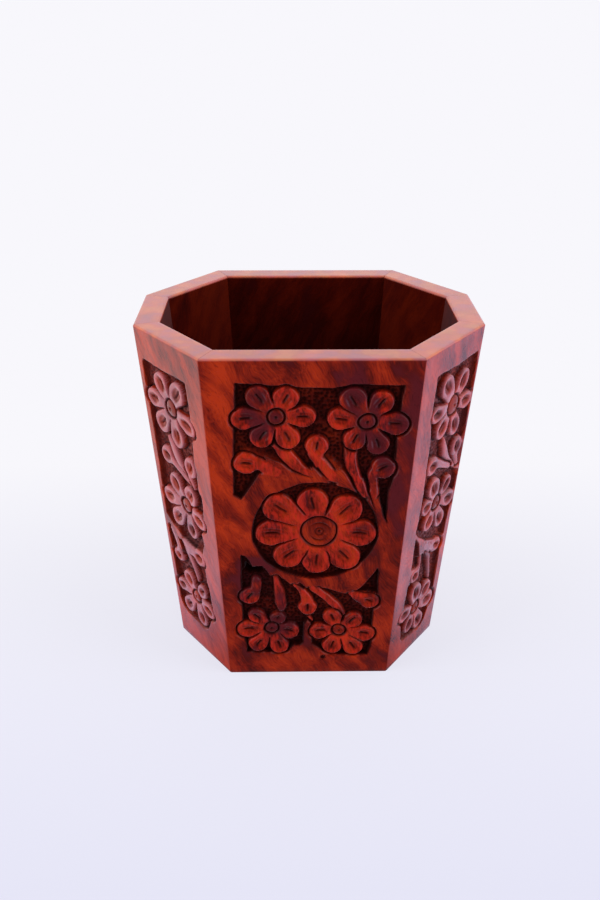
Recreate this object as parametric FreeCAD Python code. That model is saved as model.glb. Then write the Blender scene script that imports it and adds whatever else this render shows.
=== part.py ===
"""Carved eight-sided pen stand: eight mitred wooden staves glued around a base board.

The stand is a tapering box, wider at the rim than at the foot. Its wide front and back staves
each carry four flowers around a round medallion, and the six narrow staves carry three flowers
above one another. All carving stands flush with the stave's face inside a recessed ground.
Millimetres. +Z is up, the front faces -Y, and the origin is the middle of the foot.
"""
import FreeCAD, Part
import math
import os
from FreeCAD import Vector

# ---- Driving dimensions -------------------------------------------------------------------
HEIGHT = 104.0            # foot to rim
TOP_WIDTH = 95.0          # across the side staves, at the rim
TOP_DEPTH = 77.0          # across the front and back staves, at the rim
FRONT_WIDTH = 56.0        # front and back staves, at the rim
SIDE_WIDTH = 26.0         # side staves, at the rim
FOOT_RATIO = 0.84         # size of the foot's outline against the rim's
WALL = 7.0                # thickness of the staves, measured level
RIM_EASE = 0.9            # small chamfer along the rim's edges
BASE_THICKNESS = 10.0     # board let in between the staves, flush with the foot

# ---- Brads that pin the front and back staves to the base board ----------------------------
BRAD_RADIUS = 0.7
BRAD_LENGTH = 16.0
BRAD_SINK = 0.3           # head below the stave's face
BRAD_HEIGHT = 6.0
BRAD_OFFSET = 4.2         # sideways from the stave's middle
BRAD_HOLE_CLEARANCE = 0.05

# ---- Carving --------------------------------------------------------------------------------
CARVING_DEPTH = 2.0       # recessed ground below the stave's face
FRAME_TOP = 6.0           # plain frame above the carving
FRAME_FOOT = 8.0          # plain frame below it
FRAME_WIDE = 7.4          # plain frame beside the carving on the wide staves
FRAME_SIDE = 3.4          # the same on the narrow staves
FRAME_CORNER = 8.0        # on a diagonal stave, beside the wide stave
FLOWER_REACH = 6.8        # flower's centre to the middle of a petal
FLOWER_PETALS = 6
FLOWER_PETAL_RADIUS = 3.1
FLOWER_EYE_RADIUS = 2.7
PETAL_SHOULDER = 0.88     # width of a petal where it starts to narrow, against its round end
PETAL_NECK = 2.2          # width of a petal where it meets the eye
MEDALLION_REACH = 11.3
MEDALLION_PETALS = 8
MEDALLION_PETAL_RADIUS = 4.0
MEDALLION_EYE_RADIUS = 4.6
MEDALLION_RADIUS = 16.7   # round recess that holds the big flower
MEDALLION_BAND = 2.6      # plain ring left standing around it
MEDALLION_WAIST = 9.0     # half height of the plain band that the medallion sits in
BUD_RADIUS = 3.1
BUD_TAIL = 0.8            # width of a bud's stalk at its thin end
LEAF_BULGE = 0.2          # belly of a leaf on each side, as a share of its length
DISH_DEPTH = 0.7          # spoon-shaped hollow in each petal and bud
DISH_SHARE = 0.7          # hollow's radius against the petal's
EYE_RING = 0.5            # width and depth of the ring cut in a flower's eye
EYE_RING_SHARE = 0.62     # ring's radius against the eye's

# ---- Places of the carving, as shares of the stave's half width and of its slope ------------
MEDALLION_PLACE = (0.04, 0.513)
FLOWER_TOP_LEFT = (-0.34, 0.86)
FLOWER_TOP_RIGHT = (0.50, 0.845)
FLOWER_LOW_LEFT = (-0.44, 0.172)
FLOWER_LOW_RIGHT = (0.36, 0.168)
BUD_TOP_MIDDLE = ((0.05, 0.772), (0.2, 0.675))       # head, then the thin end of its stalk
BUD_TOP_LEFT = ((-0.64, 0.725), (-0.4, 0.675))
BUD_TOP_RIGHT = ((0.7, 0.712), (0.72, 0.56))
BUD_LOW_LEFT = ((-0.7, 0.29), (-0.56, 0.38))
BUD_LOW_MIDDLE = ((-0.04, 0.252), (-0.2, 0.345))
BUD_LOW_RIGHT = ((0.68, 0.275), (0.12, 0.335))
LEAF_TOP_LEFT = ((-0.38, 0.77), (-0.02, 0.69))       # tip, then foot
LEAF_TOP_RIGHT = ((0.36, 0.77), (0.5, 0.64))
LEAF_LOW_LEFT = ((-0.32, 0.235), (-0.4, 0.355))
LEAF_LOW_RIGHT = ((0.3, 0.24), (0.0, 0.34))
NARROW_FLOWERS = (0.82, 0.51, 0.185)                 # heights on a narrow stave
NARROW_BUDS = (0.665, 0.348)
BUD_ASIDE = 0.36          # a bud's head beside the middle of a narrow stave
BUD_DROOP = 0.03          # its stalk ends this much lower


def rim_outline():
    """Corners of the rim from above, anticlockwise from the front's left corner."""
    front = TOP_DEPTH / 2
    side = TOP_WIDTH / 2
    half_front = FRONT_WIDTH / 2
    half_side = SIDE_WIDTH / 2
    quarter = [(half_front, -front), (side, -half_side), (side, half_side), (half_front, front)]
    mirrored = [(-x, -y) for x, y in quarter]
    return [mirrored[-1]] + quarter + mirrored[:-1]


def inset(corners, distance):
    """The outline moved inwards by one distance on every side."""
    moved = []
    for index, (x, y) in enumerate(corners):
        before = corners[index - 1]
        after = corners[(index + 1) % len(corners)]
        arrive = Vector(x - before[0], y - before[1], 0).normalize()
        leave = Vector(after[0] - x, after[1] - y, 0).normalize()
        bisector = Vector(-arrive.y - leave.y, arrive.x + leave.x, 0)
        bisector.normalize()
        reach = distance / bisector.dot(Vector(-arrive.y, arrive.x, 0))
        moved.append((x + bisector.x * reach, y + bisector.y * reach))
    return moved


def outline_at(height, wall=0.0):
    """The octagon at one height: the outer faces, or the inner ones when a wall is given."""
    scale = FOOT_RATIO + (1 - FOOT_RATIO) * height / HEIGHT
    outer = [(x * scale, y * scale) for x, y in rim_outline()]
    corners = inset(outer, wall) if wall else outer
    return [Vector(x, y, height) for x, y in corners]


def solid_through(rings):
    """A solid with flat faces that passes through level rings with the same number of corners."""
    faces = [Part.Face(Part.makePolygon(ring + ring[:1])) for ring in (rings[0], rings[-1])]
    for low, high in zip(rings, rings[1:]):
        for index in range(len(low)):
            after = (index + 1) % len(low)
            wall = [low[index], low[after], high[after], high[index], low[index]]
            faces.append(Part.Face(Part.makePolygon(wall)))
    shell = Part.makeShell(faces)
    shell.sewShape()
    solid = Part.makeSolid(shell)
    return (solid if solid.Volume > 0 else solid.reversed()).removeSplitter()


class Panel:
    """One stave and the flat drawing surface on its outer face.

    On that surface, across runs from the stave's middle to the right as seen from outside, up
    runs along the slope from the foot, and out leaves the wood.
    """

    def __init__(self, corner):
        self.corner = corner
        after = (corner + 1) % 8
        foot, rim = outline_at(0), outline_at(HEIGHT)
        foot_middle = (foot[corner] + foot[after]) * 0.5
        rim_middle = (rim[corner] + rim[after]) * 0.5
        self.origin = foot_middle
        self.foot_width = (foot[after] - foot[corner]).Length
        self.rim_width = (rim[after] - rim[corner]).Length
        self.slope = (rim_middle - foot_middle).Length
        self.across = (foot[after] - foot[corner]).normalize()
        self.up = (rim_middle - foot_middle).normalize()
        self.out = self.across.cross(self.up)

    def half_width(self, up):
        """Half of the stave's width at one height up its slope."""
        share = up / self.slope
        return (self.foot_width + (self.rim_width - self.foot_width) * share) / 2

    def blank(self):
        """The plain mitred stave, with the two long edges of its rim eased."""
        after = (self.corner + 1) % 8
        rings = []
        for height, ease in ((0, 0), (HEIGHT - RIM_EASE, 0), (HEIGHT, RIM_EASE)):
            outer = outline_at(height, ease)
            inner = outline_at(height, WALL - ease)
            rings.append([outer[self.corner], outer[after], inner[after], inner[self.corner]])
        return solid_through(rings)

    def placed(self, shape):
        """A shape drawn flat on XY, moved onto the stave's face."""
        matrix = FreeCAD.Matrix(
            self.across.x, self.up.x, self.out.x, self.origin.x,
            self.across.y, self.up.y, self.out.y, self.origin.y,
            self.across.z, self.up.z, self.out.z, self.origin.z,
            0, 0, 0, 1)
        moved = shape.copy()
        moved.Placement = FreeCAD.Placement(matrix)
        return moved


def plate(wire):
    """A flat outline made as deep as the carving, standing a little proud of the face."""
    face = Part.Face(wire)
    face.translate(Vector(0, 0, -CARVING_DEPTH))
    return face.extrude(Vector(0, 0, 2 * CARVING_DEPTH))


def round_plate(x, y, radius):
    """A round column through the carving's depth."""
    column = Part.makeCylinder(radius, 2 * CARVING_DEPTH, Vector(x, y, -CARVING_DEPTH))
    return column


def polygon_plate(points):
    """A straight-sided column through the carving's depth."""
    corners = [Vector(x, y, 0) for x, y in points]
    return plate(Part.makePolygon(corners + corners[:1]))


def dish(x, y, radius):
    """A ball that scoops a shallow round hollow out of the face."""
    hollow = radius * DISH_SHARE
    ball_radius = (hollow ** 2 + DISH_DEPTH ** 2) / (2 * DISH_DEPTH)
    return Part.makeSphere(ball_radius, Vector(x, y, ball_radius - DISH_DEPTH))


def eye_ring(x, y, radius):
    """The ring groove cut in the eye of a flower."""
    middle = radius * EYE_RING_SHARE
    low = Vector(x, y, -EYE_RING)
    outer = Part.makeCylinder(middle + EYE_RING / 2, 2 * EYE_RING, low)
    inner = Part.makeCylinder(middle - EYE_RING / 2, 2 * EYE_RING, low)
    return outer.cut(inner)


class Carving:
    """The motifs of one stave: what stands, and what is scooped out of it."""

    def __init__(self, panel):
        self.panel = panel
        self.standing = []
        self.scoops = []

    def spot(self, across, up):
        """Drawing coordinates of a place given as shares of the stave's half width and slope."""
        height = up * self.panel.slope
        return across * self.panel.half_width(height), height

    def rosette(self, x, y, petals, reach, petal_radius, eye_radius, turn):
        """A round flower: an eye, and petals evenly spaced around it."""
        for number in range(petals):
            angle = math.radians(turn) + 2 * math.pi * number / petals
            petal_x = x + reach * math.cos(angle)
            petal_y = y + reach * math.sin(angle)
            self.standing.append(round_plate(petal_x, petal_y, petal_radius))
            self.standing.append(self.neck(x, y, petal_x, petal_y, petal_radius))
            self.scoops.append(dish(petal_x, petal_y, petal_radius))
        self.standing.append(round_plate(x, y, eye_radius))
        self.scoops.append(eye_ring(x, y, eye_radius))

    def neck(self, x, y, petal_x, petal_y, petal_radius):
        """The part of a petal that narrows from its round end to the middle of the flower."""
        outward = Vector(petal_x - x, petal_y - y, 0).normalize()
        side = Vector(-outward.y, outward.x, 0)
        middle = Vector(x, y, 0)
        head = Vector(petal_x, petal_y, 0)
        shoulder = side * (petal_radius * PETAL_SHOULDER)
        waist = side * (PETAL_NECK / 2)
        corners = [middle - waist, head - shoulder, head + shoulder, middle + waist]
        return polygon_plate([(point.x, point.y) for point in corners])

    def flower(self, place, turn=0.0):
        """A six-petalled flower at a place on the stave."""
        x, y = self.spot(*place)
        self.rosette(x, y, FLOWER_PETALS, FLOWER_REACH, FLOWER_PETAL_RADIUS, FLOWER_EYE_RADIUS, turn)

    def bud(self, head, tail):
        """A round bud whose stalk narrows towards its other end."""
        head_x, head_y = self.spot(*head)
        tail_x, tail_y = self.spot(*tail)
        axis = Vector(tail_x - head_x, tail_y - head_y, 0).normalize()
        side = Vector(-axis.y, axis.x, 0)
        middle = Vector(head_x, head_y, 0)
        end = Vector(tail_x, tail_y, 0)
        stalk = [middle + side * BUD_RADIUS, middle - side * BUD_RADIUS,
                 end - side * (BUD_TAIL / 2), end + side * (BUD_TAIL / 2)]
        self.standing.append(round_plate(head_x, head_y, BUD_RADIUS))
        self.standing.append(polygon_plate([(point.x, point.y) for point in stalk]))
        self.scoops.append(dish(head_x, head_y, BUD_RADIUS))

    def leaf(self, tip, foot):
        """A pointed leaf between two places."""
        start = Vector(*self.spot(*tip), 0)
        end = Vector(*self.spot(*foot), 0)
        belly = Vector(start.y - end.y, end.x - start.x, 0) * LEAF_BULGE
        middle = (start + end) * 0.5
        there = Part.Arc(start, middle + belly, end).toShape()
        back = Part.Arc(end, middle - belly, start).toShape()
        self.standing.append(plate(Part.Wire([there, back])))

    def cut_from(self, stave, recesses):
        """Sink the recesses into a stave, leaving the standing motifs, then scoop the motifs."""
        ground = recesses[0].fuse(recesses[1:]) if len(recesses) > 1 else recesses[0]
        ground = ground.cut(self.standing)
        carved = stave.cut(self.panel.placed(ground))
        return carved.cut([self.panel.placed(scoop) for scoop in self.scoops])


def recess_outline(panel, low, high, left_frame, right_frame):
    """Corners of a carved field that keeps its distance from the stave's two long edges."""
    return [(left_frame - panel.half_width(low), low), (panel.half_width(low) - right_frame, low),
            (panel.half_width(high) - right_frame, high), (left_frame - panel.half_width(high), high)]


def carve_wide(panel, stave):
    """Four flowers, buds and leaves around the medallion of the front or back stave."""
    carving = Carving(panel)
    middle_x, middle_y = carving.spot(*MEDALLION_PLACE)
    field = recess_outline(panel, FRAME_FOOT, panel.slope - FRAME_TOP, FRAME_WIDE, FRAME_WIDE)
    ring = round_plate(middle_x, middle_y, MEDALLION_RADIUS + MEDALLION_BAND)
    carving.rosette(middle_x, middle_y, MEDALLION_PETALS, MEDALLION_REACH,
                    MEDALLION_PETAL_RADIUS, MEDALLION_EYE_RADIUS, 4.0)
    carving.flower(FLOWER_TOP_LEFT, turn=8.0)
    carving.flower(FLOWER_TOP_RIGHT, turn=30.0)
    carving.flower(FLOWER_LOW_LEFT)
    carving.flower(FLOWER_LOW_RIGHT, turn=25.0)
    for head, tail in (BUD_TOP_LEFT, BUD_TOP_MIDDLE, BUD_TOP_RIGHT,
                       BUD_LOW_LEFT, BUD_LOW_MIDDLE, BUD_LOW_RIGHT):
        carving.bud(head, tail)
    for tip, foot in (LEAF_TOP_LEFT, LEAF_TOP_RIGHT, LEAF_LOW_LEFT, LEAF_LOW_RIGHT):
        carving.leaf(tip, foot)
    low, high = middle_y - MEDALLION_WAIST, middle_y + MEDALLION_WAIST
    edge = panel.half_width(high)
    plain = polygon_plate([(-edge, low), (edge, low), (edge, high), (-edge, high)])
    outside = polygon_plate(field).cut(ring).cut(plain)
    inside = round_plate(middle_x, middle_y, MEDALLION_RADIUS)
    return carving.cut_from(stave, [outside, inside])


def carve_narrow(panel, stave, left_frame, right_frame):
    """Three flowers above one another, with buds between them."""
    carving = Carving(panel)
    shift = (left_frame - right_frame) / 2 / panel.half_width(panel.slope / 2)
    aside = BUD_ASIDE if shift >= 0 else -BUD_ASIDE
    field = recess_outline(panel, FRAME_FOOT, panel.slope - FRAME_TOP, left_frame, right_frame)
    for level, turn in zip(NARROW_FLOWERS, (15.0, 20.0, 10.0)):
        carving.flower((shift, level), turn)
    for level in NARROW_BUDS:
        carving.bud((shift - aside, level), (shift + aside / 2, level - BUD_DROOP))
        carving.bud((shift + aside, level + BUD_DROOP / 2), (shift - aside / 2, level - BUD_DROOP))
    return carving.cut_from(stave, [polygon_plate(field)])


def brad(panel):
    """One brad, driven level through a wide stave into the base board."""
    inward = Vector(0, -1 if panel.origin.y > 0 else 1, 0)
    face_y = outline_at(BRAD_HEIGHT)[panel.corner].y
    start = Vector(BRAD_OFFSET * panel.across.x, face_y, BRAD_HEIGHT) + inward * BRAD_SINK
    return start, inward


def brad_cutter(start, inward):
    """The hole a brad needs, open at the stave's face."""
    outside = start - inward * WALL
    return Part.makeCylinder(BRAD_RADIUS + BRAD_HOLE_CLEARANCE, BRAD_LENGTH + WALL, outside, inward)


def main():
    os.makedirs("parts", exist_ok=True)
    names = ["front_panel", "front_right_panel", "right_panel", "back_right_panel",
             "back_panel", "back_left_panel", "left_panel", "front_left_panel"]
    panels = [Panel(corner) for corner in range(len(names))]
    brads = [brad(panels[0]), brad(panels[4])]
    holes = [brad_cutter(*place) for place in brads]
    nodes = {}
    for name, panel in zip(names, panels):
        stave = panel.blank()
        if name in ("front_panel", "back_panel"):
            stave = carve_wide(panel, stave).cut(holes)
        elif name in ("left_panel", "right_panel"):
            stave = carve_narrow(panel, stave, FRAME_SIDE, FRAME_SIDE)
        elif name in ("front_right_panel", "back_left_panel"):
            stave = carve_narrow(panel, stave, FRAME_CORNER, FRAME_SIDE)
        else:
            stave = carve_narrow(panel, stave, FRAME_SIDE, FRAME_CORNER)
        nodes[name] = stave
    base = solid_through([outline_at(0, WALL), outline_at(BASE_THICKNESS, WALL)])
    nodes["base_board"] = base.cut(holes)
    pins = [Part.makeCylinder(BRAD_RADIUS, BRAD_LENGTH, start, inward) for start, inward in brads]
    nodes["base_brads"] = Part.makeCompound(pins)
    for name, shape in nodes.items():
        solids = shape.Solids
        print(name, "solids", len(solids), "valid", shape.isValid(), "volume", round(shape.Volume, 1))
        whole = solids[0] if len(solids) == 1 else Part.makeCompound(solids)
        whole.exportStep("parts/" + name + ".step")


main()
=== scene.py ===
"""Visual model of a carved eight-sided pen stand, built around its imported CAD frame.

Eight mitred staves of sheesham (Indian rosewood) stand around a base board. Every stave is
relief-carved by hand with flowers, buds and leaves in front of a punched ground, stained
red-brown and lacquered. Lengths are millimetres, except in the studio, which is in metres.
"""

import logging
import math
from dataclasses import dataclass, field, replace
from enum import Enum
from functools import partial
from typing import Callable

import bpy
import numpy as np
from mathutils import Matrix, Vector


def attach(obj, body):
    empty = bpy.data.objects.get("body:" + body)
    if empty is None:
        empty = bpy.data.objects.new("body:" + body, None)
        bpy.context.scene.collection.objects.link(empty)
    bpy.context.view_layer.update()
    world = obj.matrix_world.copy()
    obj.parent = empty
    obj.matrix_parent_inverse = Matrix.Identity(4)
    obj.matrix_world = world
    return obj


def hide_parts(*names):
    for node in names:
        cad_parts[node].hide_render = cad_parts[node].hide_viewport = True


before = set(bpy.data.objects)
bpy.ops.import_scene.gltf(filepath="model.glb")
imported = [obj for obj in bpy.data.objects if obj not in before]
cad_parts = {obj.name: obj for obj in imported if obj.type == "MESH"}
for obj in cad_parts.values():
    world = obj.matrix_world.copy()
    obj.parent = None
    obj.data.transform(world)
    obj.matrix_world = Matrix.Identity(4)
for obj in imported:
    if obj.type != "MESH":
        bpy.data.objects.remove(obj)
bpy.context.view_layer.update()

MM = 0.001
NOISE_CELLS = 256       # random values along each side of the noise before it repeats
PUNCH_CELLS = 512       # punch marks along each side of the ground before they repeat
LOG = logging.getLogger("pen_stand")

Outline = tuple[tuple[float, float], ...]           # places across and up
Path = tuple[tuple[float, float, float], ...]       # places across and up, with half widths


# ---- Colour and node helpers ----------------------------------------------------------------

def linear(hex_colour: str) -> tuple[float, float, float, float]:
    """Turn an sRGB hex colour into linear RGBA.

    Args:
        hex_colour: Six hex digits with a leading hash.

    Returns:
        Red, green, blue and an alpha of one.
    """
    channels = [int(hex_colour[start:start + 2], 16) / 255 for start in (1, 3, 5)]
    turned = [c / 12.92 if c <= 0.04045 else ((c + 0.055) / 1.055) ** 2.4 for c in channels]
    return (turned[0], turned[1], turned[2], 1.0)


def add_node(tree: bpy.types.NodeTree, kind: str, settings: dict | None = None,
             links: dict | None = None) -> bpy.types.Node:
    """Add one node with its settings and the links into it.

    Args:
        tree: Node tree that receives the node.
        kind: Blender's name for the node type, after its leading ShaderNode.
        settings: Attribute names, or input names or numbers, with their values.
        links: Input names or numbers with what feeds each, a socket or a node's first output.

    Returns:
        The new node.
    """
    node = tree.nodes.new("ShaderNode" + kind)
    for name, value in (settings or {}).items():
        if isinstance(name, str) and hasattr(node, name):
            setattr(node, name, value)
        else:
            node.inputs[name].default_value = value
    for name, source in (links or {}).items():
        socket = source.outputs[0] if isinstance(source, bpy.types.Node) else source
        tree.links.new(socket, node.inputs[name])
    return node


def fill_ramp(node: bpy.types.Node, stops: list[tuple[float, str]]) -> bpy.types.Node:
    """Give a colour ramp its stops.

    Args:
        node: A colour ramp node.
        stops: Place between 0 and 1, and hex colour, in order.

    Returns:
        The same node.
    """
    elements = node.color_ramp.elements
    while len(elements) < len(stops):
        elements.new(0.5)
    for element, (place, colour) in zip(elements, stops):
        element.position = place
        element.color = linear(colour)
    return node


def empty_tree(owner: bpy.types.Material | bpy.types.World) -> bpy.types.NodeTree:
    """Clear the nodes of a new material or world.

    Args:
        owner: The material or world.

    Returns:
        Its empty node tree.
    """
    owner.use_nodes = True
    owner.node_tree.nodes.clear()
    return owner.node_tree


# ---- The stand's plan -----------------------------------------------------------------------

@dataclass(frozen=True)
class StandPlan:
    """Sizes of the whole stand, and the octagons that follow from them."""

    height: float = 104.0
    rim_width: float = 95.0
    rim_depth: float = 77.0
    front_width: float = 56.0
    side_width: float = 26.0
    foot_ratio: float = 0.84
    wall: float = 7.0
    base_thickness: float = 10.0
    brad_height: float = 6.0
    brad_offset: float = 4.2

    def scale(self, height: float | np.ndarray) -> float | np.ndarray:
        """Size of the outline at one height against the rim's."""
        return self.foot_ratio + (1 - self.foot_ratio) * height / self.height

    def outline(self, height: float, inset: float = 0.0) -> np.ndarray:
        """Corners of the octagon at one height, anticlockwise from the front's left corner.

        Args:
            height: Level above the foot.
            inset: Distance that every side moves inwards.

        Returns:
            Eight rows of x and y.
        """
        front, side = self.rim_depth / 2, self.rim_width / 2
        half_front, half_side = self.front_width / 2, self.side_width / 2
        quarter = [(half_front, -front), (side, -half_side), (side, half_side), (half_front, front)]
        mirrored = [(-x, -y) for x, y in quarter]
        corners = np.array([mirrored[-1]] + quarter + mirrored[:-1]) * self.scale(height)
        arrive = corners - np.roll(corners, 1, axis=0)
        arrive /= np.linalg.norm(arrive, axis=1)[:, None]
        leave = np.roll(arrive, -1, axis=0)
        inward = np.stack([-arrive[:, 1] - leave[:, 1], arrive[:, 0] + leave[:, 0]], axis=1)
        inward /= np.linalg.norm(inward, axis=1)[:, None]
        reach = inset / (inward[:, 0] * -arrive[:, 1] + inward[:, 1] * arrive[:, 0])
        return corners + inward * reach[:, None]

    def turn(self, corner: int) -> float:
        """Angle through which the wall turns at one corner.

        Args:
            corner: The corner's number.

        Returns:
            The angle in radians.
        """
        corners = self.outline(self.height)
        before = corners[corner % 8] - corners[corner - 1]
        after = corners[(corner + 1) % 8] - corners[corner % 8]
        cross = before[0] * after[1] - before[1] * after[0]
        return math.atan2(cross, float(before @ after))


class Place(Enum):
    """The eight staves, numbered anticlockwise by the corner at their left end."""

    FRONT = 0
    FRONT_RIGHT = 1
    RIGHT = 2
    BACK_RIGHT = 3
    BACK = 4
    BACK_LEFT = 5
    LEFT = 6
    FRONT_LEFT = 7

    @property
    def node(self) -> str:
        """Name of the CAD node of this stave."""
        return self.name.lower() + "_panel"


# ---- Noise on a flat grid -------------------------------------------------------------------

class Draw(Enum):
    """What each random field is for, with the number that it adds to its stave's seed."""

    STRAY_ACROSS = 0
    STRAY_UP = 1
    PUNCH = 5
    FLOOR = 6
    THIN_STAIN = 7
    PLANE = 9
    SCRAPER = 10
    BROAD_TONE = 20
    FINE_TONE = 21
    MOTIF_TONE = 22


def soft_step(low: float, high: float, value: np.ndarray) -> np.ndarray:
    """Smooth step from 0 at low to 1 at high."""
    share = np.clip((value - low) / (high - low), 0.0, 1.0)
    return share * share * (3.0 - 2.0 * share)


def drift(across: np.ndarray, up: np.ndarray, cell: float, seed: int) -> np.ndarray:
    """Smooth random field between -1 and 1.

    Args:
        across: Places across the stave.
        up: Places up the stave.
        cell: Distance between neighbouring random values.
        seed: Number that fixes the draw.

    Returns:
        The field's value at every place.
    """
    lattice = np.random.default_rng(seed).uniform(-1.0, 1.0, (NOISE_CELLS, NOISE_CELLS))
    x, y = across / cell + NOISE_CELLS / 4, up / cell + NOISE_CELLS / 4
    column, row = np.floor(x).astype(int), np.floor(y).astype(int)
    fx, fy = soft_step(0.0, 1.0, x - column), soft_step(0.0, 1.0, y - row)

    def level(dy: int) -> np.ndarray:
        """Blend of the random values left and right of a place, on the row below it or above."""
        r = (row + dy) % NOISE_CELLS
        return lattice[r, column % NOISE_CELLS] * (1 - fx) + lattice[r, (column + 1) % NOISE_CELLS] * fx

    return level(0) * (1 - fy) + level(1) * fy


def punched(across: np.ndarray, up: np.ndarray, spacing: float, seed: int) -> np.ndarray:
    """Distance from every place to the nearest punch mark.

    Args:
        across: Places across the stave.
        up: Places up the stave.
        spacing: Mean distance between the marks of the punch.
        seed: Number that fixes the draw.

    Returns:
        Distances in the same unit as the spacing.
    """
    scatter = np.random.default_rng(seed).uniform(0.12, 0.88, (2, PUNCH_CELLS, PUNCH_CELLS))
    x, y = across / spacing + PUNCH_CELLS / 4, up / spacing + PUNCH_CELLS / 4
    column, row = np.floor(x).astype(int), np.floor(y).astype(int)
    nearest = np.full(across.shape, np.inf)
    for dx in (-1, 0, 1):
        for dy in (-1, 0, 1):
            c, r = (column + dx) % PUNCH_CELLS, (row + dy) % PUNCH_CELLS
            mark_x = column + dx + scatter[0][r, c]
            mark_y = row + dy + scatter[1][r, c]
            nearest = np.minimum(nearest, np.hypot(x - mark_x, y - mark_y))
    return nearest * spacing


# ---- Carved motifs --------------------------------------------------------------------------

@dataclass(frozen=True)
class Petal:
    """One petal: the middle of its round end, its half width, and how far that end is drawn out."""

    across: float
    up: float
    half_width: float
    stretch: float = 1.0


@dataclass(frozen=True)
class Flower:
    """A flower: its eye, the eye's radius, the petals, and the radius of a ring cut in the eye."""

    across: float
    up: float
    eye: float
    petals: tuple[Petal, ...]
    inner_ring: float = 0.0


@dataclass(frozen=True)
class Stroke:
    """A stem, leaf or gouge cut that runs through points, each with its own half width.

    A soft stroke is a low shoulder that slopes down to the ground beside a stalk.
    """

    points: Path
    soft: float = 0.0


@dataclass(frozen=True)
class Bud:
    """A bud with a gouged cheek: a head, drawn out or squashed, and a stalk that starts at it."""

    across: float
    up: float
    radius: float
    stalk: Path
    squash: float = 1.0


@dataclass(frozen=True)
class Hollow:
    """A recessed field of ground, or a deep pocket stained fully dark as painted shadow. Its edge is a
    polygon.

    Where oval gives a half width and half height, its edge is an oval around the first corner.
    """

    corners: Outline
    depth: float = 2.0
    oval: tuple[float, float] | None = None
    is_shaded_pocket: bool = False


@dataclass(frozen=True)
class Patch:
    """A soft patch in a board's figure: tone above zero is orange, below zero violet."""

    across: float
    up: float
    wide: float
    tall: float
    tone: float


@dataclass(frozen=True)
class Carving:
    """Everything carved on one stave. Across is measured from the middle, up from the foot."""

    hollows: tuple[Hollow, ...]
    strokes: tuple[Stroke, ...]
    flowers: tuple[Flower, ...]
    buds: tuple[Bud, ...]
    cuts: tuple[Stroke, ...] = ()

    def moved(self, shift: float = 0.0, stretch: float = 1.0, mirror: bool = False) -> "Carving":
        """The same carving set out for another stave.

        Args:
            shift: Distance that it moves to the right before it is stretched.
            stretch: Factor on its width.
            mirror: Whether left and right change places.

        Returns:
            A new carving.
        """
        sign = -stretch if mirror else stretch

        def place(across: float) -> float:
            """New place across the stave."""
            return (across + shift) * sign

        def path(points: Path) -> Path:
            """New path of a stroke or stalk."""
            return tuple((place(x), y, r * stretch) for x, y, r in points)

        hollows = tuple(replace(one, corners=tuple((place(x), y) for x, y in one.corners),
                                oval=one.oval and (one.oval[0] * stretch, one.oval[1]))
                        for one in self.hollows)
        flowers = tuple(replace(one, across=place(one.across), petals=tuple(
            replace(petal, across=place(petal.across), half_width=petal.half_width * stretch)
            for petal in one.petals)) for one in self.flowers)
        buds = tuple(replace(one, across=place(one.across), stalk=path(one.stalk)) for one in self.buds)
        strokes, cuts = (tuple(replace(one, points=path(one.points)) for one in group)
                         for group in (self.strokes, self.cuts))
        return Carving(hollows, strokes, flowers, buds, cuts)


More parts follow.
